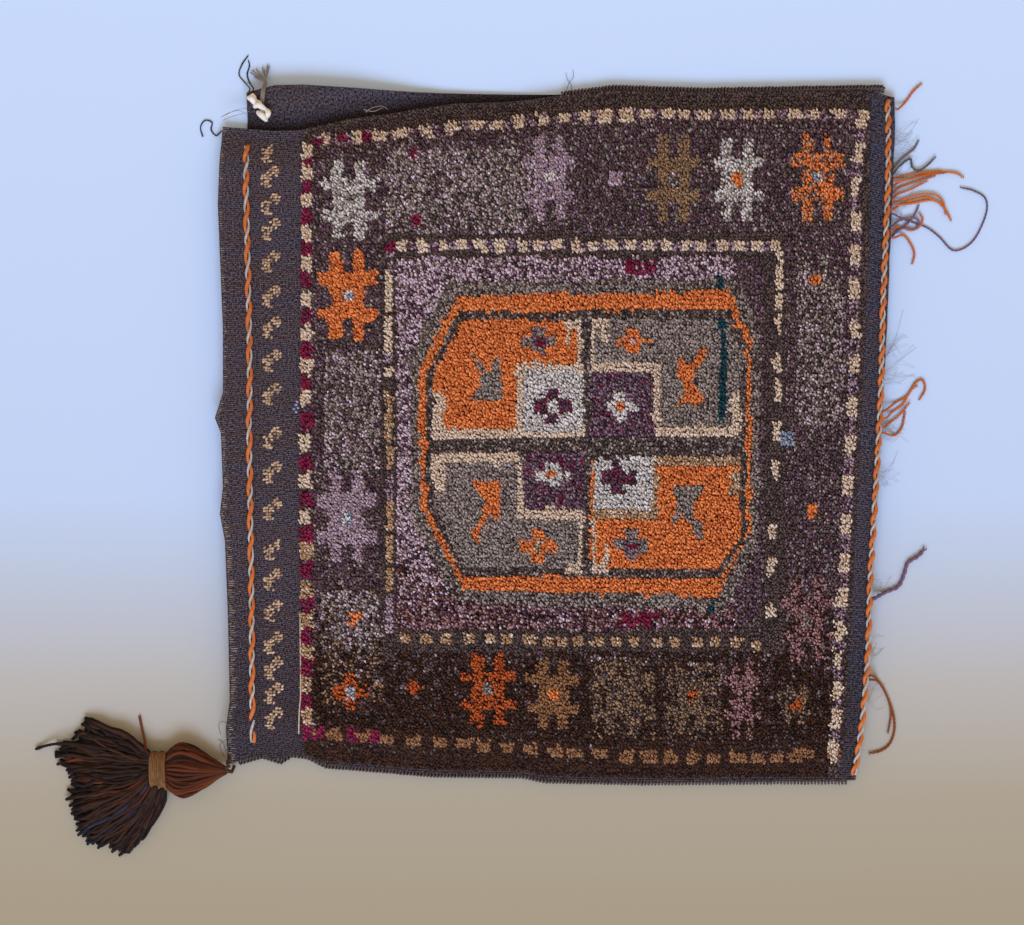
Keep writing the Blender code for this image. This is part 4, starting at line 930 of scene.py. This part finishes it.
# Fold ends: broken yarns left from tassels that are lost. They come out of the fold and down to the floor,
# and finer strands lie beside some of them. Each row gives a yarn's number, radius, wool and length, where it
# leaves the fold, where it turns down, and where it lies.
fold_ends = [
    (1, 0.0012, "orange", 0.0363, (0.2864, 0.2775, 0.0086), (0.2889, 0.0058),
     [(0.2964, 0.2845), (0.3029, 0.2935), (0.3104, 0.3005)]),
    (2, 0.0012, "orange", 0.0678, (0.2843, 0.2155, 0.0114), (0.2871, 0.0078),
     [(0.2993, 0.2185), (0.3163, 0.2235), (0.3303, 0.2245), (0.3403, 0.2235), (0.3463, 0.2195)]),
    (3, 0.0012, "orange", 0.0647, (0.2836, 0.1955, 0.0114), (0.2864, 0.0078),
     [(0.2996, 0.1975), (0.3196, 0.2005), (0.3296, 0.1935), (0.3356, 0.1825)]),
    (4, 0.0009, "purple", 0.1498, (0.2830, 0.1875, 0.0112), (0.2858, 0.0077),
     [(0.2970, 0.1835), (0.3140, 0.1775), (0.3250, 0.1695), (0.3380, 0.1575), (0.3540, 0.1655),
      (0.3650, 0.1875), (0.3650, 0.2015), (0.3550, 0.2085), (0.3430, 0.2115)]),
    (5, 0.0012, "orange", 0.0445, (0.2825, 0.1675, 0.0114), (0.2853, 0.0078),
     [(0.2945, 0.1705), (0.3005, 0.1635), (0.3040, 0.1545), (0.3020, 0.1455)]),
    (6, 0.0012, "orange", 0.0681, (0.2750, 0.0205, 0.0114), (0.2778, 0.0078),
     [(0.2880, 0.0275), (0.2980, 0.0335), (0.3050, 0.0445), (0.3110, 0.0465), (0.3130, 0.0385),
      (0.3080, 0.0295)]),
    (7, 0.0012, "orange", 0.0406, (0.2739, 0.0015, 0.0114), (0.2767, 0.0078),
     [(0.2869, -0.0005), (0.2929, 0.0055), (0.2949, 0.0135), (0.2959, 0.0205)]),
    (8, 0.0018, "purple", 0.0722, (0.2653, -0.1395, 0.0118), (0.2682, 0.0079),
     [(0.2793, -0.1345), (0.2903, -0.1295), (0.2953, -0.1185), (0.2983, -0.1095), (0.3073, -0.1035),
      (0.3133, -0.0965)]),
    (9, 0.0012, "rust", 0.0949, (0.2598, -0.2085, 0.0114), (0.2627, 0.0078),
     [(0.2738, -0.2115), (0.2818, -0.2265), (0.2863, -0.2405), (0.2868, -0.2535), (0.2828, -0.2645),
      (0.2748, -0.2705), (0.2648, -0.2725)]),
]
beside = {
    2: [("orange", [(889, 177), (903, 175), (922, 171), (944, 169)]),
        ("orange", [(888, 186), (903, 180), (925, 174), (948, 171)]),
        ("orange", [(888, 193), (900, 187), (915, 181), (938, 174)]),
        ("orange", [(889, 198), (899, 193), (912, 188), (930, 179)]),
        ("grey", [(889, 168), (898, 163), (906, 155), (916, 147), (921, 138)]),
        ("grey", [(889, 173), (900, 166), (912, 157), (914, 165), (920, 169), (929, 164), (938, 155)])],
    3: [("orange", [(889, 209), (901, 204), (913, 199), (930, 196), (944, 202)]),
        ("orange", [(888, 201), (902, 199), (920, 193), (936, 193), (945, 200), (948, 214)])],
    5: [("purple", [(888, 236), (899, 229), (911, 221), (918, 211), (921, 203)]),
        ("purple", [(888, 226), (900, 220), (913, 216), (921, 220), (917, 228), (905, 227), (893, 235)]),
        ("orange", [(888, 230), (900, 225), (912, 229), (921, 226), (925, 218), (921, 211)])],
    6: [("orange", [(882, 418), (894, 412), (905, 404), (913, 390), (920, 385)]),
        ("orange", [(880, 427), (890, 424), (901, 415), (912, 402)])],
    9: [("rust", [(868, 676), (880, 682), (889, 697), (893, 715), (890, 735)])],
}
above_floor = 0.0003
fold_wools = {
    "orange": (orange_yarn, "orange_wool"),
    "purple": (yarn_dye("purple_yarn", (70, 46, 62), (132, 104, 122)), "purple_wool"),
    "rust": (yarn_dye("rust_yarn", (92, 44, 20), (150, 84, 42)), "seam_wool"),
    "grey": (yarn_dye("warp_yarn", (74, 66, 62), (130, 120, 112)), "grey_wool"),
}


def plied(places, radius, plies, lay_length, points, faces, fray=0.0):
    """Plies twisted round the places, opening into a frayed end."""
    walked = walked_along(places)
    side, above = side_and_above(places)
    opening = eased((walked - walked[-1] + 0.010) / 0.010) * fray
    swing = radius * 0.45 * (1 + 0.8 * opening)
    for ply in range(plies):
        turn = 2 * math.pi * (walked / lay_length + ply / plies)
        along_ply = places + (np.cos(turn) * swing)[:, None] * side + (np.sin(turn) * swing)[:, None] * above
        along_ply[:, 2] = np.maximum(along_ply[:, 2], radius * 0.5)
        tube_rings(along_ply, radius * 0.58 * (1 - 0.45 * opening), 5, points, faces)


def yarn(name, via, radius, material, replaced=(), plies=2, lay_length=0.006, fray=1.0):
    """A loose yarn through its points, and the places of its middle line."""
    places = route(via)
    points, faces = [], []
    plied(places, radius, plies, lay_length, points, faces, fray)
    shades = np.repeat(rng.uniform(0.25, 0.75), len(points))
    piece = solid_piece(name, points, faces, material, replaced, shades)
    return piece, [tuple(float(c) for c in p) for p in places]


for key, radius, wool, length, leaves, turns_down, lies in fold_ends:
    material, record_slot = fold_wools[wool]
    via = [leaves, (turns_down[0], leaves[1], turns_down[1])]
    via += [(*place, round(radius + above_floor, 4)) for place in lies]
    piece, line = yarn(f"fold_end_{key}_yarn", via, radius, material, [f"fold_end_{key}"],
                       plies=2, lay_length=0.007 if radius < 0.0015 else 0.011)
    for index, (shade, places) in enumerate(beside.get(key, [])):
        start = spot(*places[0], 0.011)
        turning = spot(places[0][0] + 5, places[0][1], 0.007)
        lying = [spot(a, d, 0.0016 + 0.0006 * (index % 2)) for a, d in places[1:]]
        points, faces = [], []
        plied(route([start, turning, *lying]), 0.0011, 2, 0.006, points, faces, 1.0)
        solid_piece(f"fold_end_{key}_strand_{index + 1}", points, faces, fold_wools[shade][0],
                                  shades=np.repeat(rng.uniform(0.2, 0.8), len(points)))

# Wisps: fine grey fibres teased out of the fold, in tufts where its tassels were. They rise a little and end
# on the floor.
hair_wool = dyed("hair_wool", (110, 102, 98), (170, 162, 156), grain=2600)


def hairs(name, strands, radius, material):
    """Fine loose fibres, each through its own places across, down and up."""
    points, faces = [], []
    for strand in strands:
        places = route([spot(*place) for place in strand], 0.003)
        tube_rings(places, np.linspace(radius, radius * 0.5, len(places)), 3, points, faces)
    return solid_piece(name, points, faces, material,
                       shades=np.repeat(rng.uniform(0.3, 0.7), len(points)))


wisp_lines = []
for across, middle, spread, count in ((897, 135, 26, 12), (896, 165, 28, 12), (896, 215, 24, 7),
                                      (887, 352, 26, 12), (886, 378, 34, 10), (885, 430, 26, 10),
                                      (883, 480, 20, 9), (877, 588, 18, 5), (869, 660, 22, 7),
                                      (869, 700, 24, 6)):
    for _ in range(count):
        down = middle + rng.uniform(-9, 9)
        far = rng.uniform(0.35, 1.0) * spread
        rise = rng.normal(-0.45, 0.5) * far
        curl = rng.normal(0, 5)
        wisp_lines.append([(across - 6, down, 0.008), (across, down, 0.005),
                           (across + far * 0.5, down + rise * 0.5 + curl, 0.0007 + rng.uniform(0, 0.003)),
                           (across + far, down + rise, 0.0006)])
hairs("fold_wisps", wisp_lines, 0.00016, hair_wool)

# Strip yarn: a thin cream yarn of two plies, which lies loose where the mouth strip meets the pile. Its lower
# end comes out of the cloth near the lower seam.
cream_yarn = yarn_dye("cream_yarn", (168, 150, 124), (226, 212, 188))
junction_via = [(-0.2206, -0.2534, 0.0148), (-0.2201, -0.2430, 0.0179), (-0.2196, -0.2325, 0.0185),
                (-0.2187, -0.2221, 0.0185), (-0.2186, -0.2082, 0.0185), (-0.2187, -0.1908, 0.0185),
                (-0.2189, -0.1769, 0.0185), (-0.2190, -0.1630, 0.0185), (-0.2191, -0.1491, 0.0185)]
junction_piece, junction_path = yarn("junction_yarn_ply", junction_via, 0.0008, cream_yarn,
                                     ["junction_yarn"], lay_length=0.004)

# Mouth's upper corner: two black sewing threads and a loop of the same, loose ends of grey warp, and a torn
# tie of white cotton knotted round them. All of it lies over the curled edge and on the floor.
black_thread = dyed("black_thread", (26, 24, 28), (52, 48, 54), grain=2600)
thread_height = 0.0008
for name, leaves, turns_down, lies, length in (
    ("corner_thread_1", (-0.2635, 0.2912, 0.0107), (-0.2635, 0.2952, 0.0053),
     [(-0.2685, 0.3012), (-0.2735, 0.3082), (-0.2705, 0.3172), (-0.2655, 0.3242)], 0.0426),
    ("corner_thread_2", (-0.2605, 0.2912, 0.0107), (-0.2605, 0.2952, 0.0053),
     [(-0.2645, 0.3012), (-0.2665, 0.3082), (-0.2645, 0.3152), (-0.2655, 0.3202)], 0.0349),
    ("corner_loop", (-0.2874, 0.2588, 0.0059), (-0.2904, 0.2568, 0.0030),
     [(-0.2934, 0.2558), (-0.2974, 0.2608), (-0.2964, 0.2668), (-0.3024, 0.2688), (-0.3064, 0.2628),
      (-0.3044, 0.2548)], 0.0433),
):
    via = [leaves, turns_down, *[(*place, thread_height) for place in lies]]
    piece, line = yarn(name + "_sewing", via, 0.0008, black_thread, [name], lay_length=0.003,
                       fray=0.6)
warp_tips = [(249, 70), (251, 68), (255, 67), (257, 71), (261, 65), (263, 68), (266, 63), (268, 64),
             (253, 75)]
points, faces = [], []
for k, (tip_across, tip_down) in enumerate(warp_tips):
    aside = 900 * rng.normal(0, 0.0009)
    places = route([spot(262.5 + aside, 103, 0.0125), spot(264 + aside, 92, 0.0145),
                    spot(265 + aside * 2 / 3, 82, 0.0075),
                    spot((265 + 2 * tip_across) / 3, (80 + 1.4 * tip_down) / 2.4, 0.0040),
                    spot(tip_across, tip_down, 0.0015 + 0.0008 * (k % 3))], 0.002)
    tube_rings(places, np.linspace(0.0009, 0.00055, len(places)), 5, points, faces)
solid_piece("corner_warp_ends", points, faces, fold_wools["grey"][0], ["corner_fringe"],
            np.repeat(0.9, len(points)))
white_tie = dyed("white_tie", (196, 190, 178), (236, 232, 222), grain=1800, depth=0.0004)
points, faces = [], []
tie_line = route([(-0.2616, 0.2876, 0.0154), (-0.2577, 0.2828, 0.0141), (-0.2538, 0.2790, 0.0125),
                  (-0.2490, 0.2733, 0.0099)], 0.0012)
lumps = 0.0019 + 0.0015 * np.abs(np.sin(np.linspace(0.5, 9.0, len(tie_line))))
tube_rings(tie_line, lumps, 9, points, faces)
for lobe_places in (((249, 99, 0.0150), (253, 101, 0.0185), (257, 106, 0.0150)),
                    ((255, 108, 0.0150), (260, 107, 0.0180), (266, 110, 0.0140)),
                    ((258, 113, 0.0140), (263, 117, 0.0165), (267, 121, 0.0120)),
                    ((266, 110, 0.0135), (269, 114, 0.0150), (266, 119, 0.0125))):
    lobe = route([spot(*place) for place in lobe_places], 0.001)
    tube_rings(lobe, 0.0021 * (0.75 + 0.5 * np.sin(np.linspace(0, math.pi, len(lobe)))), 8, points, faces)
solid_piece("corner_knot_cotton", points, faces, white_tie, ["corner_knot"],
            rng.uniform(0.4, 1.0, len(points)))

# Tassel head: rust wool wrapped lengthwise over a heart of the same yarns, pressed flat by its own weight. It
# lies on the floor below the mouth's lower corner, and along_axis is the way from its tie to the tips of its
# skirt.
tassel_root = np.array([-0.2827, -0.2854])
half_height, flatness = 0.01038, 0.42
head_length, head_strands, heart_sides = 0.0505, 54, 24
head_radius, head_inset, heart_inset, head_swell, head_floor = 0.00135, 0.0011, 0.0014, 0.07, 0.0014


def on_tassel(along_axis, side, height):
    return tassel_root[0] - along_axis, tassel_root[1] - side, height


head_shape = [(0.0, 0.0030), (0.006, 0.0062), (0.016, 0.0130), (0.0275, 0.0200), (0.0375, 0.0228),
              (0.045, 0.0205), (0.0505, 0.0140)]
# The tassel's wools are partly their own dark colour and partly painted shade for the dimmer light below the
# bag.
head_wool = dyed("head_wool", (36, 14, 4), (100, 48, 20), grain=2200, depth=0.0003)
# The heart is coloured dark as painted shade, seen between the wrapped yarns.
heart_painted_shade = yarn_dye("heart_painted_shade", (44, 34, 33), (88, 72, 68))
points, faces, shades = [], [], []
line = np.linspace(0.0, head_length, 15)
reach_line = np.interp(line, *zip(*head_shape))
for k in range(head_strands):
    turn = 2 * math.pi * k / head_strands + rng.normal(0, 0.03)
    twist = rng.normal(0.0, 0.22)
    turns_line = turn + twist * line / 0.05
    swell = 1 + head_swell * np.sin(line * 170 + rng.uniform(0, 6))
    reach = (reach_line - head_inset) * swell
    places = np.stack([tassel_root[0] - line, tassel_root[1] - reach * np.cos(turns_line),
                       half_height + reach * flatness * np.sin(turns_line)], -1)
    places[:, 2] = np.maximum(places[:, 2], head_floor)
    before = len(points)
    tube_rings(places, head_radius, 6, points, faces)
    shades.extend([float(np.clip(rng.normal(0.5, 0.32), 0, 1))] * (len(points) - before))
solid_piece("tassel_head_yarns", points, faces, head_wool, ["tassel_head"], shades)
core_turns = np.linspace(0, 2 * math.pi, heart_sides + 1)[:-1]
core_points, core_faces = [], []
for along_axis, reach in zip(line, reach_line - heart_inset):
    core_points += [on_tassel(along_axis, reach * math.cos(t), half_height + reach * flatness * math.sin(t))
                    for t in core_turns]
for k in range(len(line) - 1):
    for j in range(heart_sides):
        a, b = k * heart_sides + j, k * heart_sides + (j + 1) % heart_sides
        core_faces.append((a, b, b + heart_sides, a + heart_sides))
core_ring = tuple(range(heart_sides))
core_faces += [core_ring[::-1], tuple(j + (len(line) - 1) * heart_sides for j in core_ring)]
solid_piece("tassel_head_heart", core_points, core_faces, heart_painted_shade,
            shades=np.zeros(len(core_points)))

# Tassel binding: a tan yarn wound seven and a half times round the neck below the head, which holds the
# skirt. Its turns lie side by side, a little uneven.
binding_turns, binding_start, binding_long = 7.5, 0.0515, 0.0125
binding_reach, binding_radius = 0.0149, 0.00125
points, faces = [], []
turn = np.linspace(0, 2 * math.pi * binding_turns, 220)
coil_along = binding_start + binding_long * turn / turn[-1]
reach = binding_reach + 0.0006 * np.sin(5.3 * turn) + 0.0004 * np.sin(11.7 * turn)
places = np.stack([tassel_root[0] - coil_along, tassel_root[1] - reach * np.cos(turn),
                   half_height + reach * flatness * np.sin(turn)], -1)
tube_rings(places, binding_radius, 6, points, faces)
# The binding's colour is likewise partly painted shade for the dimmer light below the bag.
binding_yarn = dyed("binding_yarn", (74, 46, 24), (126, 90, 52), grain=2200, depth=0.0003)
solid_piece("tassel_binding_coil", points, faces, binding_yarn, ["tassel_binding"],
            rng.uniform(0.2, 0.9, len(points)))

# Tassel skirt: about 200 yarns of brown, rust and navy wool, which come out of the binding and lie fanned on
# the floor in layers. The fan gives how far along and aside their tips reach, from the upper side to the
# lower.
fan = [(0.124, -0.045), (0.128, -0.034), (0.147, -0.024), (0.150, -0.008), (0.139, 0.003), (0.134, 0.012),
       (0.139, 0.023), (0.137, 0.033), (0.131, 0.042), (0.129, 0.052), (0.122, 0.063), (0.110, 0.070),
       (0.092, 0.0745), (0.074, 0.063)]
skirt_wools = {
    "brown": ((20, 11, 6), (62, 38, 25), 150),
    "rust": ((50, 20, 9), (98, 46, 24), 26),
    "navy": ((18, 18, 28), (50, 48, 62), 12),
}
root_along, root_back, root_side, root_wide, root_layers = 0.064, 0.013, -0.0125, 0.0265, 0.0042
lowest_top, layers_high, tip_height, skirt_floor = 0.0020, 0.0050, 0.0015, 0.0021
bend_aside, splay_aside, wave_aside, shake_high, yarn_step = 0.0022, 0.0016, 0.0007, 0.0006, 0.0055
# The skirt's colours are likewise partly painted shade for the dimmer light below the bag.
skirt_dyes = {wool: dyed("skirt_" + wool, dark, light, grain=2400, depth=0.0003)
              for wool, (dark, light, _) in skirt_wools.items()}
for wool_name, (_, _, count) in skirt_wools.items():
    points, faces, shades = [], [], []
    for k in range(count):
        if wool_name == "brown":
            q = (k + rng.uniform(-0.5, 1.5)) / count
            q = float(np.clip(0.82 * q + 0.18 * (round(q * 11) / 11), 0, 1))
        elif wool_name == "rust":
            q = float(np.clip(rng.choice([0.78, 0.55, 0.90, 0.3]) + rng.normal(0, 0.05), 0, 1))
        else:
            q = float(np.clip(0.72 + rng.normal(0, 0.05), 0, 1))
        tip_along, tip_side = [float(np.interp(q * 13, range(14), measure)) for measure in zip(*fan)]
        share_out = 1 - min(0.45, abs(rng.normal(0, 0.13)))
        layer = rng.uniform(-1, 1)
        start_side = root_side + root_wide * float(np.clip((tip_side + 0.045) / 0.12, 0, 1))
        start_along = root_along - root_back * float(np.clip((q - 0.72) / 0.28, 0, 1))
        start_height = half_height + layer * root_layers
        run_along = (tip_along - start_along) * share_out
        run_aside = (tip_side - start_side) * share_out
        top = lowest_top + layers_high * (layer + 1) / 2
        bend, splay = rng.normal(0, bend_aside), rng.normal(0, splay_aside)
        via = [on_tassel(start_along, start_side, start_height)]
        for share in (0.3, 0.62, 0.85):
            via.append(on_tassel(start_along + run_along * share,
                                 start_side + run_aside * share**0.62 + bend * math.sin(5 * share),
                                 max(0.0016, start_height * (1 - share) + top * share)))
        via.append(on_tassel(start_along + run_along, start_side + run_aside + splay,
                             tip_height + top * 0.25))
        places = route(via, yarn_step)
        waves = np.sin(np.arange(len(places)) * rng.uniform(0.9, 1.5) + rng.uniform(0, 6))
        places[1:, 1] += wave_aside * waves[1:]
        places[1:, 2] += shake_high * rng.normal(0, 1, len(places) - 1)
        places[1:, 2] = np.maximum(places[1:, 2], skirt_floor)
        radii = np.full(len(places), rng.uniform(0.00125, 0.00165))
        radii[-1], radii[-2] = 0.0013, 0.0020
        before = len(points)
        tube_rings(places, radii, 5, points, faces)
        base = float(np.clip(rng.normal(0.5, 0.28), 0.05, 1))
        body = np.repeat(np.where(np.arange(len(places)) > len(places) - 3, 0.0, base), 5)
        shades.extend([*body, base, 0.0])
    solid_piece(f"tassel_skirt_{wool_name}", points, faces, skirt_dyes[wool_name],
                ["tassel_skirt"] if wool_name == "brown" else (), shades)
points, faces, shades = [], [], []
for k in range(16):
    reach_out = rng.uniform(0.72, 1.0)
    held_back = 1 - reach_out
    via = [on_tassel(0.056 + rng.normal(0, 0.001), 0.013, 0.008 + rng.normal(0, 0.002)),
           on_tassel(0.052 + 0.010 * held_back, 0.026 * reach_out, 0.007),
           on_tassel(0.063 + 0.016 * held_back, 0.047 * reach_out, 0.005),
           on_tassel(0.079 + 0.016 * held_back, 0.064 * reach_out, 0.0035),
           on_tassel(0.092 + rng.normal(0, 0.002), 0.0755 * reach_out, 0.0022)]
    before = len(points)
    tube_rings(route(via, 0.008), 0.0014, 5, points, faces)
    shades.extend([float(rng.uniform(0.1, 0.7))] * (len(points) - before))
solid_piece("tassel_lower_strands", points, faces, skirt_dyes["brown"], shades=shades)
long_via = [on_tassel(0.100, -0.018, 0.011), on_tassel(0.125, -0.022, 0.010), on_tassel(0.145, -0.022, 0.007),
            on_tassel(0.158, -0.019, 0.003), on_tassel(0.1645, -0.0165, 0.0022)]
points, faces = [], []
long_places = route(long_via, 0.004)
tube_rings(long_places, np.append(np.full(len(long_places) - 2, 0.0012), (0.0016, 0.0010)), 6, points, faces)
solid_piece("tassel_long_strand", points, faces, skirt_dyes["brown"],
            shades=np.repeat(0.25, len(points)))

# Tassel tie: a three-ply yarn from the mouth's lower corner to the head, with a knot of two plies where it is
# sewn on. One stray rust yarn comes out of the binding and lies on the floor.
tie_via = [(-0.2769, -0.2827, 0.0036), (-0.2779, -0.2855, 0.0053), (-0.2789, -0.2875, 0.0070),
           (-0.2808, -0.2854, 0.0104)]
neck_via = [spot(231, 759, 0.0105), spot(227, 762, 0.0125), spot(230, 766, 0.0135), spot(226, 767, 0.0128),
            spot(229, 771, 0.0118), spot(224, 772, 0.0105)]
points, faces = [], []
plied(route(tie_via, 0.001), 0.0016, 3, 0.006, points, faces)
plied(route(neck_via, 0.001), 0.0014, 2, 0.006, points, faces)
tie_wool = dyed("tie_wool", (44, 28, 18), (98, 62, 40), grain=2400, depth=0.0003)
solid_piece("tassel_tie_yarn", points, faces, tie_wool, ["tassel_tie"],
            np.repeat(0.4, len(points)))
stray_via = [(-0.3510, -0.2714, 0.0104), (-0.3530, -0.2624, 0.0050), (-0.3560, -0.2524, 0.0015),
             (-0.3585, -0.2404, 0.0015)]
stray_piece, stray_path = yarn("tassel_stray_yarn", stray_via, 0.0012, fold_wools["rust"][0],
                               ["tassel_stray_end"], plies=3, lay_length=0.008)

# Mouth edge: the selvedge of the mouth strip. Each weft turns back round the outermost warp there and shows
# as a small light stitch, longer towards the lower corner.
edge_turn_wool = dyed("edge_turn_wool", (84, 72, 66), (160, 144, 128), grain=2000)
edge_down = np.arange(128, 764, 2.24)
count = len(edge_down)
edge_length = rng.uniform(0.0022, 0.0085, count) * (0.45 + 0.55 * eased((edge_down - 400) / 250))
edge_across = across_at(mouth_edge, edge_down) + 0.6 + edge_length / 2 / step
edge_places = np.stack([*spot(edge_across, edge_down)[:2],
                       front_height(edge_across + 1, edge_down) - 0.0001], -1)
edge_sizes = np.stack([edge_length, np.full(count, 0.0010), np.full(count, 0.0013)], -1)
grow("mouth_edge_turns", edge_places, edge_sizes, np.zeros((count, 3)), stitch, edge_turn_wool, 0.05, 93)

# Loose hairs: ends of the dark seam thread above the upper edge and at the mouth's lower corner, and a few
# grey hairs teased out of the upper edge.
thread_ends = [
    [(566, 92, 0.009), (569, 82, 0.004), (574, 74, 0.0008), (573, 67, 0.0006)],
    [(570, 92, 0.009), (572, 84, 0.003), (568, 78, 0.0008), (566, 70, 0.0006)],
    [(229, 724, 0.012), (222, 722, 0.006), (217, 727, 0.0009), (219, 737, 0.0006)],
    [(230, 738, 0.012), (223, 742, 0.005), (218, 748, 0.0009), (222, 758, 0.0006)],
    [(230, 748, 0.012), (225, 752, 0.005), (221, 744, 0.0009), (216, 741, 0.0006)],
]
hairs("loose_dark_hairs", thread_ends, 0.00028, black_thread)
grey_hairs = [
    [(366, 113, 0.014), (372, 108, 0.011), (382, 106, 0.010), (388, 110, 0.013)],
    [(364, 110, 0.013), (374, 112, 0.013), (384, 107, 0.010)],
    [(222, 118, 0.014), (230, 113, 0.012), (240, 111, 0.012), (247, 116, 0.014)],
    [(224, 121, 0.014), (233, 117, 0.013), (243, 114, 0.012), (250, 112, 0.013)],
    [(226, 116, 0.014), (236, 110, 0.010), (246, 108, 0.009)],
]
hairs("loose_grey_hairs", grey_hairs, 0.0004, hair_wool)
